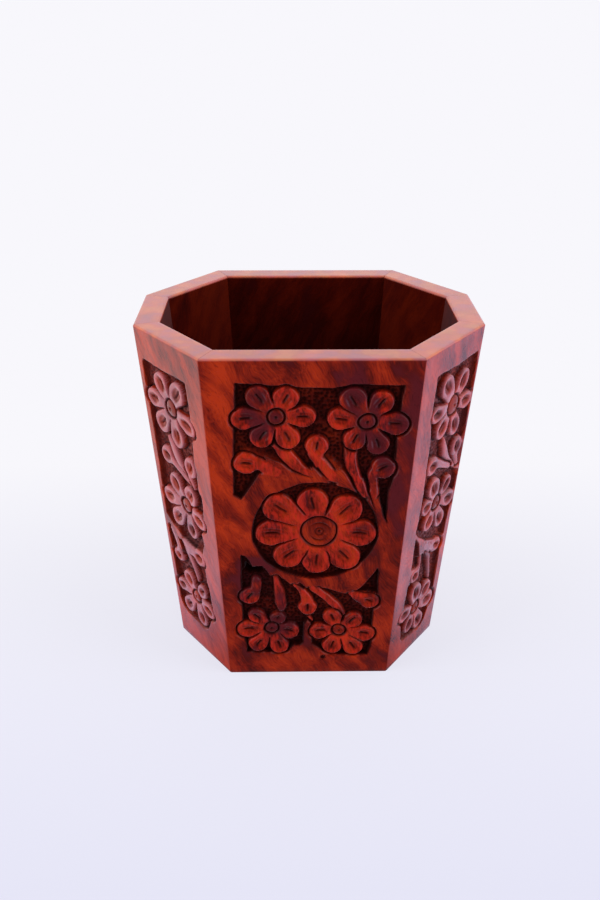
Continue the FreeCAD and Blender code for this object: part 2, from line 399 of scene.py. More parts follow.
def front_carving() -> Carving:
    """Four flowers, buds and leaves around the medallion of the front stave.

    Returns:
        The front stave's motifs.
    """
    upper_ground = Hollow((
        (-19.2, 97.5), (-4.5, 96.6), (0.0, 96.1), (5.0, 96.0), (8.5, 96.6), (10.0, 97.1), (23.1, 96.8),
        (22.6, 90.0), (22.0, 82.0), (22.1, 76.0), (21.8, 69.5), (20.9, 66.0), (20.6, 60.0), (20.8, 55.2),
        (19.4, 58.8), (18.6, 62.5), (18.1, 66.5), (16.6, 67.2), (15.2, 66.0), (14.3, 69.4), (12.6, 69.4),
        (11.0, 67.8), (9.8, 69.8), (8.2, 72.0), (5.8, 72.6), (3.4, 70.8), (2.4, 72.2), (1.0, 73.4),
        (-1.2, 72.6), (-3.2, 71.9), (-5.6, 73.0), (-8.6, 74.6), (-12.0, 76.4), (-12.8, 72.4),
        (-14.0, 70.4), (-15.6, 67.8), (-17.4, 65.0), (-18.5, 63.0), (-20.6, 64.4), (-20.3, 72.0),
        (-20.0, 84.0), (-19.4, 92.0)))
    lower_ground = Hollow((
        (-19.2, 44.4), (-18.0, 43.9), (-17.0, 42.4), (-16.2, 40.4), (-13.2, 40.6), (-12.2, 39.2),
        (-11.4, 37.4), (-10.4, 36.4), (-8.9, 36.9), (-7.0, 35.6), (-5.3, 33.9), (-3.8, 32.4),
        (-2.6, 33.6), (-0.4, 32.2), (1.4, 31.0), (3.3, 32.8), (5.5, 32.2), (8.0, 31.2), (10.0, 30.5),
        (11.8, 29.6), (14.0, 27.8), (15.6, 25.4), (18.5, 24.6), (18.5, 19.5), (18.9, 14.0), (18.0, 9.0),
        (17.6, 7.0), (14.0, 6.7), (10.0, 7.0), (6.0, 7.2), (4.2, 8.0), (3.2, 9.6), (0.9, 11.4),
        (0.4, 19.4), (-0.6, 20.6), (-1.4, 19.0), (-1.7, 12.0), (-2.8, 10.8), (-4.4, 11.0), (-6.0, 8.6),
        (-12.0, 8.2), (-18.3, 8.4), (-18.5, 12.0), (-19.3, 16.0), (-19.4, 25.0), (-19.3, 36.0)))
    corner_ground = Hollow((
        (19.0, 39.6), (18.0, 37.6), (16.4, 35.0), (15.0, 33.0), (13.2, 31.1), (16.0, 31.2), (19.6, 30.6),
        (19.4, 34.5), (19.6, 38.0)))
    medallion = Hollow(((1.35, 52.2),), depth=1.7, oval=(17.3, 16.0))
    # A deep pocket that sink makes fully dark: painted shadow.
    shaded_pocket = Hollow((
        (-18.6, 42.4), (-16.6, 40.2), (-13.4, 40.5), (-12.4, 39.2), (-12.5, 37.4), (-13.8, 36.6),
        (-15.2, 36.9), (-17.2, 36.6), (-19.0, 38.0)), depth=4.5, is_shaded_pocket=True)
    top_left = Flower(-9.0, 87.8, 2.15, (
        Petal(-13.55, 93.5, 3.4), Petal(-6.5, 93.2, 3.5), Petal(-2.0, 87.9, 3.3),
        Petal(-6.0, 81.7, 3.4), Petal(-12.8, 82.0, 3.3), Petal(-17.3, 87.3, 3.35)))
    top_right = Flower(14.3, 86.3, 2.15, (
        Petal(10.5, 92.6, 3.65), Petal(17.8, 92.1, 3.35), Petal(21.6, 85.7, 3.45),
        Petal(17.3, 79.7, 3.2), Petal(11.2, 81.1, 3.2), Petal(7.2, 87.1, 3.4)))
    middle = Flower(2.5, 52.0, 4.75, (
        Petal(0.5, 61.7, 4.45), Petal(9.7, 59.4, 4.55), Petal(14.0, 51.4, 4.4),
        Petal(9.7, 43.5, 4.6), Petal(1.9, 41.8, 4.25), Petal(-6.0, 44.0, 4.4),
        Petal(-10.9, 51.7, 4.3), Petal(-8.4, 59.9, 4.6)), inner_ring=2.85)
    low_left = Flower(-11.0, 17.4, 1.95, (
        Petal(-15.2, 21.8, 2.6, 1.15), Petal(-9.2, 21.0, 2.55), Petal(-5.8, 16.2, 3.15),
        Petal(-8.7, 10.6, 3.1), Petal(-15.0, 11.3, 3.15), Petal(-17.8, 17.1, 3.3)))
    low_right = Flower(8.8, 16.3, 1.95, (
        Petal(6.8, 21.3, 2.85, 1.1), Petal(12.8, 20.3, 2.9, 1.05), Petal(16.5, 15.1, 3.15),
        Petal(13.1, 10.0, 3.2, 1.05), Petal(6.9, 10.3, 3.15), Petal(3.2, 16.1, 3.15)))
    strokes = (
        Stroke(((-16.4, 76.5, 0.6), (-12.0, 74.7, 0.6), (-8.0, 72.9, 0.6)), soft=2.4),
        Stroke(((3.6, 74.1, 0.6), (5.6, 72.7, 0.6), (8.0, 70.5, 0.6)), soft=2.2),
        Stroke(((10.2, 79.1, 1.75), (10.4, 75.5, 1.8), (10.9, 72.5, 1.75), (12.0, 69.8, 1.6),
                (13.3, 66.9, 1.4), (14.6, 64.0, 1.2))),
        Stroke(((-9.7, 79.7, 1.0), (-8.5, 78.5, 1.4), (-6.7, 76.8, 2.0), (-4.75, 74.5, 1.9),
                (-2.75, 72.5, 1.5), (0.0, 70.9, 1.0))),
        Stroke(((-9.6, 36.1, 0.9), (-9.0, 33.0, 1.35), (-8.5, 29.5, 1.75), (-8.2, 26.5, 1.7),
                (-7.9, 24.7, 1.3))),
        Stroke(((1.2, 32.1, 1.5), (4.0, 29.7, 1.5), (6.4, 27.1, 1.5), (8.4, 24.7, 1.4),
                (9.9, 22.3, 1.0), (10.3, 20.9, 0.5))),
        Stroke(((-0.8, 22.1, 0.5), (0.2, 20.9, 0.6), (1.0, 19.9, 0.4))))
    buds = (
        Bud(1.45, 79.2, 3.3, ((1.2, 76.7, 2.3), (1.8, 75.1, 1.8), (3.1, 73.3, 1.8), (4.7, 71.1, 1.7),
                              (6.3, 69.2, 1.2))),
        Bud(-17.0, 74.0, 3.5, ((-14.2, 73.9, 2.2), (-11.6, 72.7, 1.9), (-9.0, 71.5, 1.4))),
        Bud(19.0, 72.4, 3.5, ((16.5, 70.9, 1.6), (16.6, 68.0, 1.5), (17.2, 64.5, 1.2))),
        Bud(-17.1, 29.4, 3.1, ((-15.4, 31.9, 1.8), (-15.1, 35.1, 1.5))),
        Bud(-0.5, 25.0, 2.9, ((-0.6, 27.9, 1.9), (-1.7, 30.5, 1.4), (-3.6, 33.3, 1.1))),
        Bud(17.2, 27.3, 3.0, ((14.2, 28.7, 1.9), (12.0, 30.1, 1.0))))
    cuts = (
        Stroke(((-5.0, 72.0, 0.5), (-2.4, 70.7, 0.4), (0.6, 69.9, 0.15))),
        Stroke(((1.8, 72.5, 0.6), (3.0, 70.8, 0.5), (4.7, 69.0, 0.15))),
        Stroke(((10.6, 68.9, 0.6), (11.6, 66.7, 0.5), (13.0, 64.1, 0.15))),
        Stroke(((14.4, 69.5, 0.5), (15.1, 66.1, 0.5), (16.4, 62.1, 0.4), (17.8, 58.7, 0.15))),
        Stroke(((-4.5, 34.4, 0.15), (-3.2, 33.5, 0.4), (-1.6, 32.4, 0.6))),
        Stroke(((1.5, 33.3, 0.15), (3.0, 32.6, 0.4), (5.0, 31.8, 0.6))))
    return Carving((upper_ground, lower_ground, corner_ground, medallion, shaded_pocket), strokes,
                   (middle, top_left, top_right, low_left, low_right), buds, cuts)


def front_figure() -> tuple[Patch, ...]:
    """Orange and violet patches of the front board, with dark violet ones around the deep pocket under the
    medallion.

    Returns:
        The patches.
    """
    rows = (
        (-24.0, 86.0, 6.0, 22.0, 0.9), (-23.0, 60.0, 6.0, 16.0, 0.7), (-14.0, 101.0, 7.0, 4.0, 0.4),
        (1.0, 99.0, 2.0, 4.0, 0.6), (7.0, 100.0, 9.0, 4.5, -0.5), (18.0, 100.0, 5.0, 4.0, -0.3),
        (26.0, 88.0, 4.0, 26.0, -0.8), (-5.5, 92.5, 5.0, 5.0, 0.5), (-5.5, 83.5, 2.5, 4.0, 0.5),
        (-13.6, 93.4, 3.3, 4.0, -1.1), (-12.6, 84.0, 3.2, 3.0, -0.6), (-16.2, 88.4, 2.6, 2.8, -0.7),
        (11.0, 93.0, 4.2, 4.8, -1.1), (14.5, 86.5, 4.0, 5.0, -0.9), (17.0, 79.6, 4.0, 5.0, -1.1),
        (-9.0, 87.8, 2.4, 2.4, -0.9), (22.6, 86.6, 3.0, 3.6, -0.4), (-6.0, 43.6, 3.6, 3.6, -0.3),
        (15.0, 52.6, 3.0, 3.0, -0.4), (16.2, 92.0, 1.6, 3.0, -0.8), (19.0, 73.0, 3.5, 4.0, -0.6),
        (7.0, 87.8, 3.0, 3.0, 0.6), (1.5, 80.0, 3.5, 4.0, 0.4), (-6.2, 76.4, 2.4, 2.4, 0.8),
        (-2.5, 69.8, 4.0, 1.6, 0.8), (-14.0, 68.5, 2.5, 5.0, -0.4), (10.0, 69.0, 4.0, 5.0, 0.2),
        (7.9, 55.0, 2.0, 7.5, 1.2), (-4.5, 51.5, 2.4, 7.0, 1.1), (2.4, 62.0, 2.0, 4.0, 0.5),
        (-1.2, 61.5, 1.2, 3.0, -0.7), (12.4, 45.0, 1.8, 4.0, 0.8), (6.6, 43.5, 1.2, 3.0, -0.7),
        (2.5, 52.6, 4.2, 4.2, 0.1), (21.5, 62.0, 5.0, 14.0, -0.3), (-14.0, 43.0, 6.0, 3.5, -0.9),
        (-15.0, 38.5, 4.0, 4.0, -1.1), (-16.0, 31.0, 3.5, 4.0, -0.6), (-8.0, 30.0, 2.5, 6.0, -0.35),
        (-9.0, 20.0, 7.0, 5.0, -0.7), (-13.9, 13.6, 1.0, 3.2, 1.0), (-0.6, 26.0, 3.0, 3.5, 0.6),
        (13.0, 34.0, 3.0, 4.0, 0.5), (23.0, 26.0, 4.0, 22.0, 0.5), (-10.5, 5.0, 3.0, 3.0, 0.7),
        (2.6, 6.0, 2.4, 2.6, 0.6), (-22.0, 12.0, 3.0, 12.0, 0.3), (13.0, 3.0, 8.0, 3.0, -0.3))
    return tuple(Patch(*row) for row in rows)


def left_carving() -> Carving:
    """Three flowers above one another on the front's left diagonal stave.

    Returns:
        The stave's motifs.
    """
    upper_ground = Hollow((
        (-13.0, 95.2), (-3.3, 94.8), (8.0, 95.1), (8.7, 87.5), (7.9, 77.9), (7.7, 72.7), (7.9, 66.8),
        (8.0, 62.6), (9.1, 61.0), (8.9, 54.9), (7.5, 48.9), (6.4, 47.5), (7.1, 44.3), (6.1, 41.7),
        (5.6, 40.1), (1.8, 40.1), (0.5, 39.1), (-1.2, 39.5), (-2.8, 40.1), (-5.4, 41.1), (-7.4, 42.4),
        (-9.4, 42.9), (-12.8, 45.5), (-12.8, 53.5), (-12.5, 59.4), (-12.6, 71.6), (-12.9, 78.9),
        (-13.5, 89.2), (-13.4, 94.2)))
    left_pocket = Hollow((
        (-12.5, 41.5), (-10.3, 37.7), (-9.3, 35.4), (-10.9, 34.2), (-12.5, 33.3), (-13.0, 38.7)))
    lower_ground = Hollow((
        (-7.7, 39.3), (-5.6, 37.3), (-3.8, 35.1), (-2.0, 34.3), (-0.1, 34.3), (2.2, 34.5),
        (5.8, 34.8), (6.0, 30.6), (6.7, 28.4), (7.2, 22.9), (7.5, 21.0), (7.2, 17.4), (5.3, 14.8),
        (4.4, 13.0), (3.0, 10.6), (1.5, 9.8), (-4.1, 9.8), (-8.3, 10.3), (-10.4, 11.1), (-11.9, 14.1),
        (-12.0, 17.7), (-11.9, 23.6), (-12.1, 28.4), (-12.6, 31.6), (-10.2, 31.9), (-7.3, 32.3),
        (-6.5, 35.6)))
    top = Flower(-2.0, 83.9, 2.49, (
        Petal(-5.7, 90.4, 3.45), Petal(2.3, 89.7, 3.66, 1.1), Petal(5.9, 81.6, 2.95, 1.35),
        Petal(-0.1, 75.9, 3.48), Petal(-7.5, 78.0, 3.49), Petal(-10.5, 84.4, 3.05, 1.1)))
    middle = Flower(-0.6, 53.5, 2.28, (
        Petal(-5.0, 59.3, 3.29), Petal(2.4, 57.9, 3.39), Petal(5.8, 51.3, 2.77, 1.25),
        Petal(1.2, 45.7, 2.89), Petal(-6.3, 47.1, 3.33, 1.05), Petal(-9.6, 53.0, 3.06, 1.05)))
    low = Flower(-2.1, 19.9, 1.98, (
        Petal(-5.1, 25.2, 2.94), Petal(1.9, 23.9, 2.65), Petal(4.5, 18.0, 2.63, 1.2),
        Petal(0.0, 12.6, 2.89), Petal(-7.2, 14.0, 2.98), Petal(-9.8, 20.3, 2.44, 1.1)))
    strokes = (
        Stroke(((-5.3, 74.5, 0.92), (-3.9, 72.1, 1.63), (-2.3, 69.1, 1.82), (-0.5, 66.7, 1.52),
                (2.0, 64.2, 1.11), (4.8, 61.9, 0.5))),
        Stroke(((-5.5, 37.9, 0.97), (-3.3, 34.9, 1.15), (-1.3, 32.1, 1.15), (-0.1, 29.2, 1.05),
                (0.1, 27.0, 0.67))))
    buds = (
        Bud(-7.8, 67.3, 3.23, ((-4.6, 66.1, 1.51), (-1.7, 64.9, 1.21), (1.8, 63.2, 1.01),
                               (4.8, 61.8, 0.6))),
        Bud(4.4, 68.1, 3.35, ((3.9, 65.2, 1.31), (4.7, 63.2, 0.91), (5.4, 61.6, 0.6))),
        Bud(2.7, 36.8, 3.0, ((-1.0, 37.5, 1.93), (-4.4, 38.9, 1.36)), 1.1),
        Bud(-9.4, 31.7, 3.06, ((-9.0, 34.8, 1.25), (-10.0, 37.6, 1.16), (-11.6, 40.5, 0.97)), 0.68))
    return Carving((upper_ground, left_pocket, lower_ground), strokes, (top, middle, low), buds)


def right_carving() -> Carving:
    """Three flowers above one another on the front's right diagonal stave.

    Returns:
        The stave's motifs.
    """
    upper_ground = Hollow((
        (-8.0, 96.6), (4.7, 96.3), (14.1, 96.8), (14.7, 92.9), (14.5, 86.9), (14.3, 80.6),
        (14.1, 74.7), (14.6, 68.4), (15.2, 64.5), (15.3, 60.1), (14.0, 57.1), (14.1, 54.3),
        (13.7, 50.0), (12.4, 46.4), (11.9, 41.4), (11.8, 37.9), (9.3, 37.3), (5.5, 38.2), (3.2, 39.3),
        (-0.1, 41.5), (-2.8, 43.6), (-5.1, 45.4), (-7.0, 47.4), (-6.4, 52.5), (-6.2, 57.4),
        (-6.0, 60.4), (-6.2, 65.2), (-6.5, 69.1), (-6.7, 74.7), (-6.9, 79.3), (-7.9, 83.3),
        (-8.1, 89.9)))
    left_pocket = Hollow((
        (-6.4, 45.1), (-4.2, 42.5), (-2.8, 37.5), (-1.3, 32.8), (-2.8, 32.9), (-5.1, 33.7),
        (-6.4, 34.2), (-6.5, 39.8)))
    lower_ground = Hollow((
        (-0.4, 36.3), (1.2, 36.4), (2.8, 34.3), (4.1, 34.2), (6.0, 33.0), (8.6, 33.0), (10.8, 33.2),
        (11.0, 28.9), (10.9, 23.3), (10.6, 18.6), (10.4, 14.0), (8.9, 10.7), (7.6, 7.2), (5.5, 5.7),
        (-0.9, 6.2), (-5.4, 6.8), (-6.6, 8.2), (-7.8, 14.5), (-7.6, 21.3), (-7.2, 23.9), (-7.0, 28.6),
        (-2.8, 28.3), (-0.3, 29.3), (-0.1, 32.3)))
    top = Flower(5.0, 83.6, 3.05, (
        Petal(-0.7, 91.2, 3.55), Petal(8.5, 90.2, 3.34, 1.1), Petal(12.1, 82.8, 2.97, 1.1),
        Petal(7.4, 76.6, 3.15, 1.1), Petal(-0.5, 78.5, 3.6), Petal(-4.6, 84.3, 2.8, 1.15)))
    middle = Flower(3.9, 52.5, 2.21, (
        Petal(0.7, 58.9, 3.56), Petal(8.5, 57.0, 2.59, 1.25), Petal(11.4, 50.7, 3.04, 1.1),
        Petal(7.3, 45.5, 3.06, 1.1), Petal(0.6, 47.4, 3.14, 1.05), Petal(-2.3, 53.7, 2.8, 1.1)))
    low = Flower(0.8, 15.9, 2.06, (
        Petal(-0.5, 22.5, 3.31, 1.05), Petal(6.0, 20.3, 3.12), Petal(8.2, 14.8, 3.26, 1.1),
        Petal(3.9, 9.0, 3.08), Petal(-2.2, 10.8, 2.95, 1.05), Petal(-6.2, 17.1, 2.8, 1.2)))
    strokes = (
        Stroke(((2.1, 74.4, 0.77), (3.0, 72.2, 1.44), (4.4, 69.0, 1.84), (6.5, 65.9, 1.66),
                (9.5, 63.4, 1.38), (12.5, 61.4, 1.14), (15.7, 59.0, 0.9))),
        Stroke(((2.7, 37.1, 1.76), (4.5, 33.0, 1.15), (5.6, 29.1, 1.06), (6.5, 25.7, 1.01),
                (7.0, 23.0, 0.64))))
    buds = (
        Bud(-2.0, 67.2, 3.2, ((1.9, 66.3, 1.66), (4.9, 64.6, 1.27), (8.5, 62.9, 1.08)), 1.12),
        Bud(11.4, 68.3, 3.31, ((11.8, 65.0, 1.47), (13.1, 62.1, 1.09))),
        Bud(8.3, 35.3, 2.71, ((5.2, 36.7, 1.97), (1.2, 39.0, 1.65)), 1.2),
        Bud(-2.8, 29.8, 3.26, ((-0.9, 32.6, 0.94), (-1.3, 35.9, 0.93)), 0.7))
    return Carving((upper_ground, left_pocket, lower_ground), strokes, (top, middle, low), buds)


def smooth_path(points: Path) -> Path:
    """Round a stalk's path by a Catmull-Rom curve through its points.

    Args:
        points: Places with half widths.

    Returns:
        The same path with more places.
    """
    rows = np.array([points[0], *points, points[-1]], float)
    fine = []
    for index in range(1, len(rows) - 2):
        p0, p1, p2, p3 = rows[index - 1:index + 3]
        for t in np.linspace(0.0, 1.0, 5)[:-1]:
            fine.append(0.5 * (2 * p1 + (p2 - p0) * t + (2 * p0 - 5 * p1 + 4 * p2 - p3) * t ** 2
                               + (3 * p1 - p0 - 3 * p2 + p3) * t ** 3))
    fine.append(rows[-1])
    return tuple(tuple(float(v) for v in row) for row in fine)


@dataclass(frozen=True)
class Dressing:
    """How one stave's carving was coloured, rubbed down and lacquered, with light and shade painted on it.

    warmth: Tone of the board, from violet at 0 to orange at 1.
    gouged: Share of the clean red wood that the gouge leaves on the motifs.
    bloom: Share of a pale pinkish colour on the motifs, painted sheen of the lacquer.
    ground_painted_sheen: Share of that painted sheen in the sunk ground.
    bowl_stain_and_shade: Stain with painted shade in the petals' hollows.
    eye_stain: Stain that stays on the flowers' eyes.
    floor_stain_and_shade: Stain with painted shade on the floor of the sunk ground.
    wall_stain_and_shade: Darkness along the walls of the sunk ground, staining with painted shadow where it
    is darker than on the floor.
    """

    warmth: float = 0.95
    gouged: float = 0.2
    bloom: float = 0.06
    ground_painted_sheen: float = 0.0
    bowl_stain_and_shade: float = 0.45
    eye_stain: float = 0.2
    floor_stain_and_shade: float = 0.88
    wall_stain_and_shade: float = 0.72


@dataclass
class Relief:
    """Depth of the carving on a grid over one stave's face, and the staining and painted shade in it.

    depth is zero on the plain face and negative below it, dark is the share of staining together
    with painted shade, plain is the signed distance to the sunk ground, and fresh is one on a
    gouged motif and minus one on an eye, where end grain shows. x and y are the grid's places
    as the knife strays from them.
    A bowl's pair is its half length and half width as shares of the petal's or the bud's, and
    stem_merge is how far outside the ground a stem or bud starts and ends its run into the face.
    """

    across: np.ndarray
    up: np.ndarray
    seed: int
    dressing: Dressing = Dressing()
    stray: float = 0.16
    stray_length: float = 2.6
    plane_wave: float = 0.035
    plane_length: float = 6.0
    scraper_wave: float = 0.02
    scraper_length: float = 1.1
    punch_spacing: float = 1.1
    punch_depth: float = 0.34
    floor_wave: float = 0.14
    floor_length: float = 1.7
    thin_stain_length: float = 2.0
    groove_depth: float = 1.15
    groove_width: float = 0.6
    groove_stain_and_shade: float = 0.97
    stem_groove: float = 1.1
    stem_merge: tuple[float, float] = (0.1, 1.3)
    eye_groove: float = 1.25
    gouge_depth: float = 1.9
    gouge_stain_and_shade: float = 0.95
    gouge_ripple: float = 0.06
    shoulder_depth: float = 0.8
    leaf_edge: float = 0.6
    leaf_rise: float = 0.5
    bowl_share: float = 0.65
    slit_share: float = 0.35
    slit_stain_and_shade: float = 0.8
    petal_bowl: tuple[float, float] = (0.86, 0.6)
    bud_bowl: tuple[float, float] = (0.74, 0.56)
    petal_edge: float = 0.3
    petal_dish: float = 0.35
    parting_width: float = 0.75
    parting_stain_and_shade: float = 0.9
    boss_round: float = 0.5
    ring_depth: float = 0.75
    ring_stain_and_shade: float = 0.75
    well_depth: float = 0.3
    well_stain: float = 0.16
    dot_depth: float = 0.6
    dot_stain_and_shade: float = 0.8
    pit_depth: float = 0.5
    pit_stain_and_shade: float = 0.7
    depth: np.ndarray = field(init=False)
    dark: np.ndarray = field(init=False)
    plain: np.ndarray = field(init=False)
    fresh: np.ndarray = field(init=False)
    x: np.ndarray = field(init=False)
    y: np.ndarray = field(init=False)

    def __post_init__(self) -> None:
        """Start from a plain planed face, and draw the wander of the carver's hand."""
        self.depth, self.dark, self.fresh = (np.zeros(self.across.shape) for _ in range(3))
        self.plain = np.full(self.across.shape, np.inf)
        self.x = self.across + self.stray * self.noise(self.stray_length, Draw.STRAY_ACROSS)
        self.y = self.up + self.stray * self.noise(self.stray_length, Draw.STRAY_UP)

    def noise(self, cell: float, draw: Draw) -> np.ndarray:
        """Smooth random field over the grid."""
        return drift(self.across, self.up, cell, self.seed + draw.value)

    def from_line(self, ax: float, ay: float, bx: float, by: float) -> tuple[np.ndarray, np.ndarray]:
        """Measure the grid against a straight line from one place to another.

        Args:
            ax: Place across of the line's start.
            ay: Place up of its start.
            bx: Place across of its end.
            by: Place up of its end.

        Returns:
            Share of the way along the line, and distance to the line.
        """
        ex, ey = bx - ax, by - ay
        share = np.clip(((self.x - ax) * ex + (self.y - ay) * ey) / (ex * ex + ey * ey), 0, 1)
        return share, np.hypot(self.x - ax - share * ex, self.y - ay - share * ey)

    def from_axis(self, across: float, up: float, foot_across: float, foot_up: float
                  ) -> tuple[np.ndarray, np.ndarray, float]:
        """Measure the grid along the axis of a petal or bud.

        Args:
            across: Place across of the middle of its head.
            up: Place up of that middle.
            foot_across: Place across of its foot.
            foot_up: Place up of its foot.

        Returns:
            Distance outwards from the middle, distance beside the axis, and the axis's length.
        """
        dx, dy = across - foot_across, up - foot_up
        reach = math.hypot(dx, dy)
        ux, uy = dx / reach, dy / reach
        along = (self.x - across) * ux + (self.y - up) * uy
        side = -(self.x - across) * uy + (self.y - up) * ux
        return along, side, reach

    def polygon_distance(self, corners: Outline) -> np.ndarray:
        """Signed distance from the grid to a polygon, negative inside.

        Args:
            corners: The polygon's corners in order.

        Returns:
            Distance at every grid point.
        """
        nearest = np.full(self.x.shape, np.inf)
        inside = np.zeros(self.x.shape, bool)
        for (ax, ay), (bx, by) in zip(corners, corners[1:] + corners[:1]):
            nearest = np.minimum(nearest, self.from_line(ax, ay, bx, by)[1])
            if by != ay:
                crosses = (ay > self.y) != (by > self.y)
                inside ^= crosses & (self.x < (bx - ax) * (self.y - ay) / (by - ay) + ax)
        return np.where(inside, -nearest, nearest)

    def stroke_distance(self, points: Path) -> np.ndarray:
        """Signed distance from the grid to a line that swells and narrows, negative inside.

        Args:
            points: Places with half widths, in order.

        Returns:
            Distance at every grid point.
        """
        nearest = np.full(self.x.shape, np.inf)
        fine = smooth_path(points)
        for (ax, ay, start_half), (bx, by, end_half) in zip(fine, fine[1:]):
            share, distance = self.from_line(ax, ay, bx, by)
            nearest = np.minimum(nearest, distance - (start_half + (end_half - start_half) * share))
        return nearest

    def sink(self, hollow: Hollow) -> None:
        """Cut a field of ground and punch its floor, or sink a deep pocket made fully dark as painted
        shadow.

        Args:
            hollow: Outline and depth of the field.
        """
        if hollow.oval:
            (middle_x, middle_y), (wide, tall) = hollow.corners[0], hollow.oval
            ratio = np.hypot((self.x - middle_x) / wide, (self.y - middle_y) / tall)
            gap = (ratio - 1.0) * min(wide, tall)
        else:
            gap = self.polygon_distance(hollow.corners)
        inside = soft_step(0.15, -0.35, gap)
        # A deep pocket gets no punch marks and full darkness: painted shadow.
        if hollow.is_shaded_pocket:
            self.depth = np.minimum(self.depth, -hollow.depth * soft_step(0.2, -1.4, gap))
            self.dark = np.maximum(self.dark, inside)
            return
        marks = punched(self.across, self.up, self.punch_spacing, self.seed + Draw.PUNCH.value)
        floor = -hollow.depth + self.punch_depth * soft_step(0.12, 0.5, marks)
        floor += self.floor_wave * self.noise(self.floor_length, Draw.FLOOR)
        self.depth = np.minimum(self.depth, inside * floor)
        # Darkness of the ground: stain with painted shade on the floor, its own value along the walls
        # (painted shadow where that is darker), and less on the ridges between punch marks (painted
        # highlights).
        wall = soft_step(-1.3, -0.3, gap)
        thin = soft_step(-0.1, 0.9, self.noise(self.thin_stain_length, Draw.THIN_STAIN)) * (1 - wall)
        ridge_highlight = soft_step(0.3, 0.6, marks)
        wet = self.dressing.floor_stain_and_shade * (1 - wall) + self.dressing.wall_stain_and_shade * wall
        wet = wet - 0.2 * ridge_highlight * (1 - wall) - 0.12 * thin
        self.dark = np.maximum(self.dark, soft_step(0.3, 0.0, gap) * wet)
        self.plain = np.minimum(self.plain, gap)

    def cut_around(self, gap: np.ndarray, depth: float, share: np.ndarray | float = 1.0,
                   wide: float = 1.0) -> None:
        """Cut a V groove along an outline.

        Args:
            gap: Signed distance to the outline.
            depth: How deep the V goes.
            share: Where the groove is whole (1) and where it runs out (0).
            wide: Factor on the groove's width.
        """
        vee = np.clip(1.0 - np.abs(gap - 0.12) / (self.groove_width * wide), 0.0, 1.0) * share
        self.depth = np.minimum(self.depth, -depth * vee)
        # The V groove is darkened: stain that gathers in it and painted shade.
        self.dark = np.maximum(self.dark, self.groove_stain_and_shade * soft_step(0.1, 0.8, vee))

    def stand(self, gap: np.ndarray, top: np.ndarray | float, dark: np.ndarray | float = 0.0) -> None:
        """Leave a motif standing with its own top surface.

        Args:
            gap: Signed distance to the motif's outline.
            top: Height of the motif's surface, zero at the stave's face and negative below it.
            dark: Stain on the motif, with painted shade in its hollows and cuts.
        """
        solid = soft_step(0.06, -0.42, gap)
        clean = soft_step(0.02, -0.4, gap)
        self.depth = self.depth * (1 - solid) + top * solid
        self.dark = self.dark * (1 - clean) + dark * clean
        self.fresh = np.maximum(self.fresh, clean)

    def carve_stroke(self, stroke: Stroke) -> None:
        """Carve a stem or leaf with a rounded back that runs out into the plain wood.

        Args:
            stroke: The stem or leaf, or the soft shoulder beside one.
        """
        gap = self.stroke_distance(stroke.points)
        if stroke.soft:
            share = soft_step(stroke.soft, 0.0, gap)
            self.depth = np.maximum(self.depth, self.depth * (1 - share) - self.shoulder_depth * share)
            self.dark = self.dark * (1 - 0.6 * share)
            return
        merge = soft_step(*self.stem_merge, self.plain)
        self.cut_around(gap, self.stem_groove, 1 - merge)
        top = -self.leaf_edge + self.leaf_rise * soft_step(0.0, 1.2, -gap)
        self.stand(gap, top * (1 - merge) + self.depth * merge, self.dark * merge)

    def carve_cut(self, stroke: Stroke) -> None:
        """Run a V gouge along a line, deeper where the line is wider.

        Args:
            stroke: The line.
        """
        deep = np.clip(-self.stroke_distance(stroke.points), 0.0, 1.0)
        self.depth = np.minimum(self.depth, -self.gouge_depth * deep)
        # The cut is darkened: stain that gathers in it and painted shade.
        self.dark = np.maximum(self.dark, self.gouge_stain_and_shade * soft_step(0.0, 0.32, deep))

    def cheek(self, along: np.ndarray, side: np.ndarray, length: float, width: float
              ) -> tuple[np.ndarray, np.ndarray]:
        """Shape of the spoon-shaped hollow that a gouge leaves in a petal or bud.

        Args:
            along: Distance along the gouge's path from its middle.
            side: Distance to the side of that path.
            length: Half length of the hollow.
            width: Half width of the hollow.

        Returns:
            Depth of the hollow below the motif's top, and the staining with painted shade in it.
        """
        ratio, off, far = np.hypot(along / length, side / width), np.abs(side), np.abs(along)
        bowl = soft_step(1.15, 0.2, ratio)
        slit = soft_step(0.32, 0.08, off) * soft_step(1.0, 0.6, far / (length * 0.62))
        ripple = np.cos(5.0 * side + 0.7 * along)
        # The bowl and the slit are darkened: stain with painted shade.
        stain = (self.dressing.bowl_stain_and_shade + self.gouge_ripple * ripple) * soft_step(1.0, 0.5, ratio)
        gathered = soft_step(0.62, 0.16, off) * soft_step(1.0, 0.55, far / (length * 0.7))
        deep = self.bowl_share * bowl + self.slit_share * slit
        deep = deep + self.gouge_ripple * ripple * soft_step(1.2, 0.7, ratio)
        return deep, np.maximum(stain, self.slit_stain_and_shade * gathered)

    def carve_petal(self, petal: Petal, flower: Flower) -> tuple[np.ndarray, np.ndarray, np.ndarray]:
        """Outline and gouge of one petal, which tapers towards the flower's eye.

        Args:
            petal: The petal.
            flower: The flower that it belongs to.

        Returns:
            Signed distance to the petal's outline, depth of its hollow and the staining with painted shade
            in it.
        """
        along, side, reach = self.from_axis(petal.across, petal.up, flower.across, flower.up)
        head = petal.half_width
        round_end = np.hypot(np.where(along > 0, along / petal.stretch, along), side) - head
        neck = -reach + flower.eye * 0.7
        share = np.clip(along / neck, 0.0, 1.0)
        taper = np.hypot(along - share * neck, side) - (head - 0.5 * head * share)
        length, width = self.petal_bowl
        hollow, stain = self.cheek(along + 0.1 * head, side, head * length * petal.stretch, head * width)
        return np.minimum(round_end, taper), hollow, stain

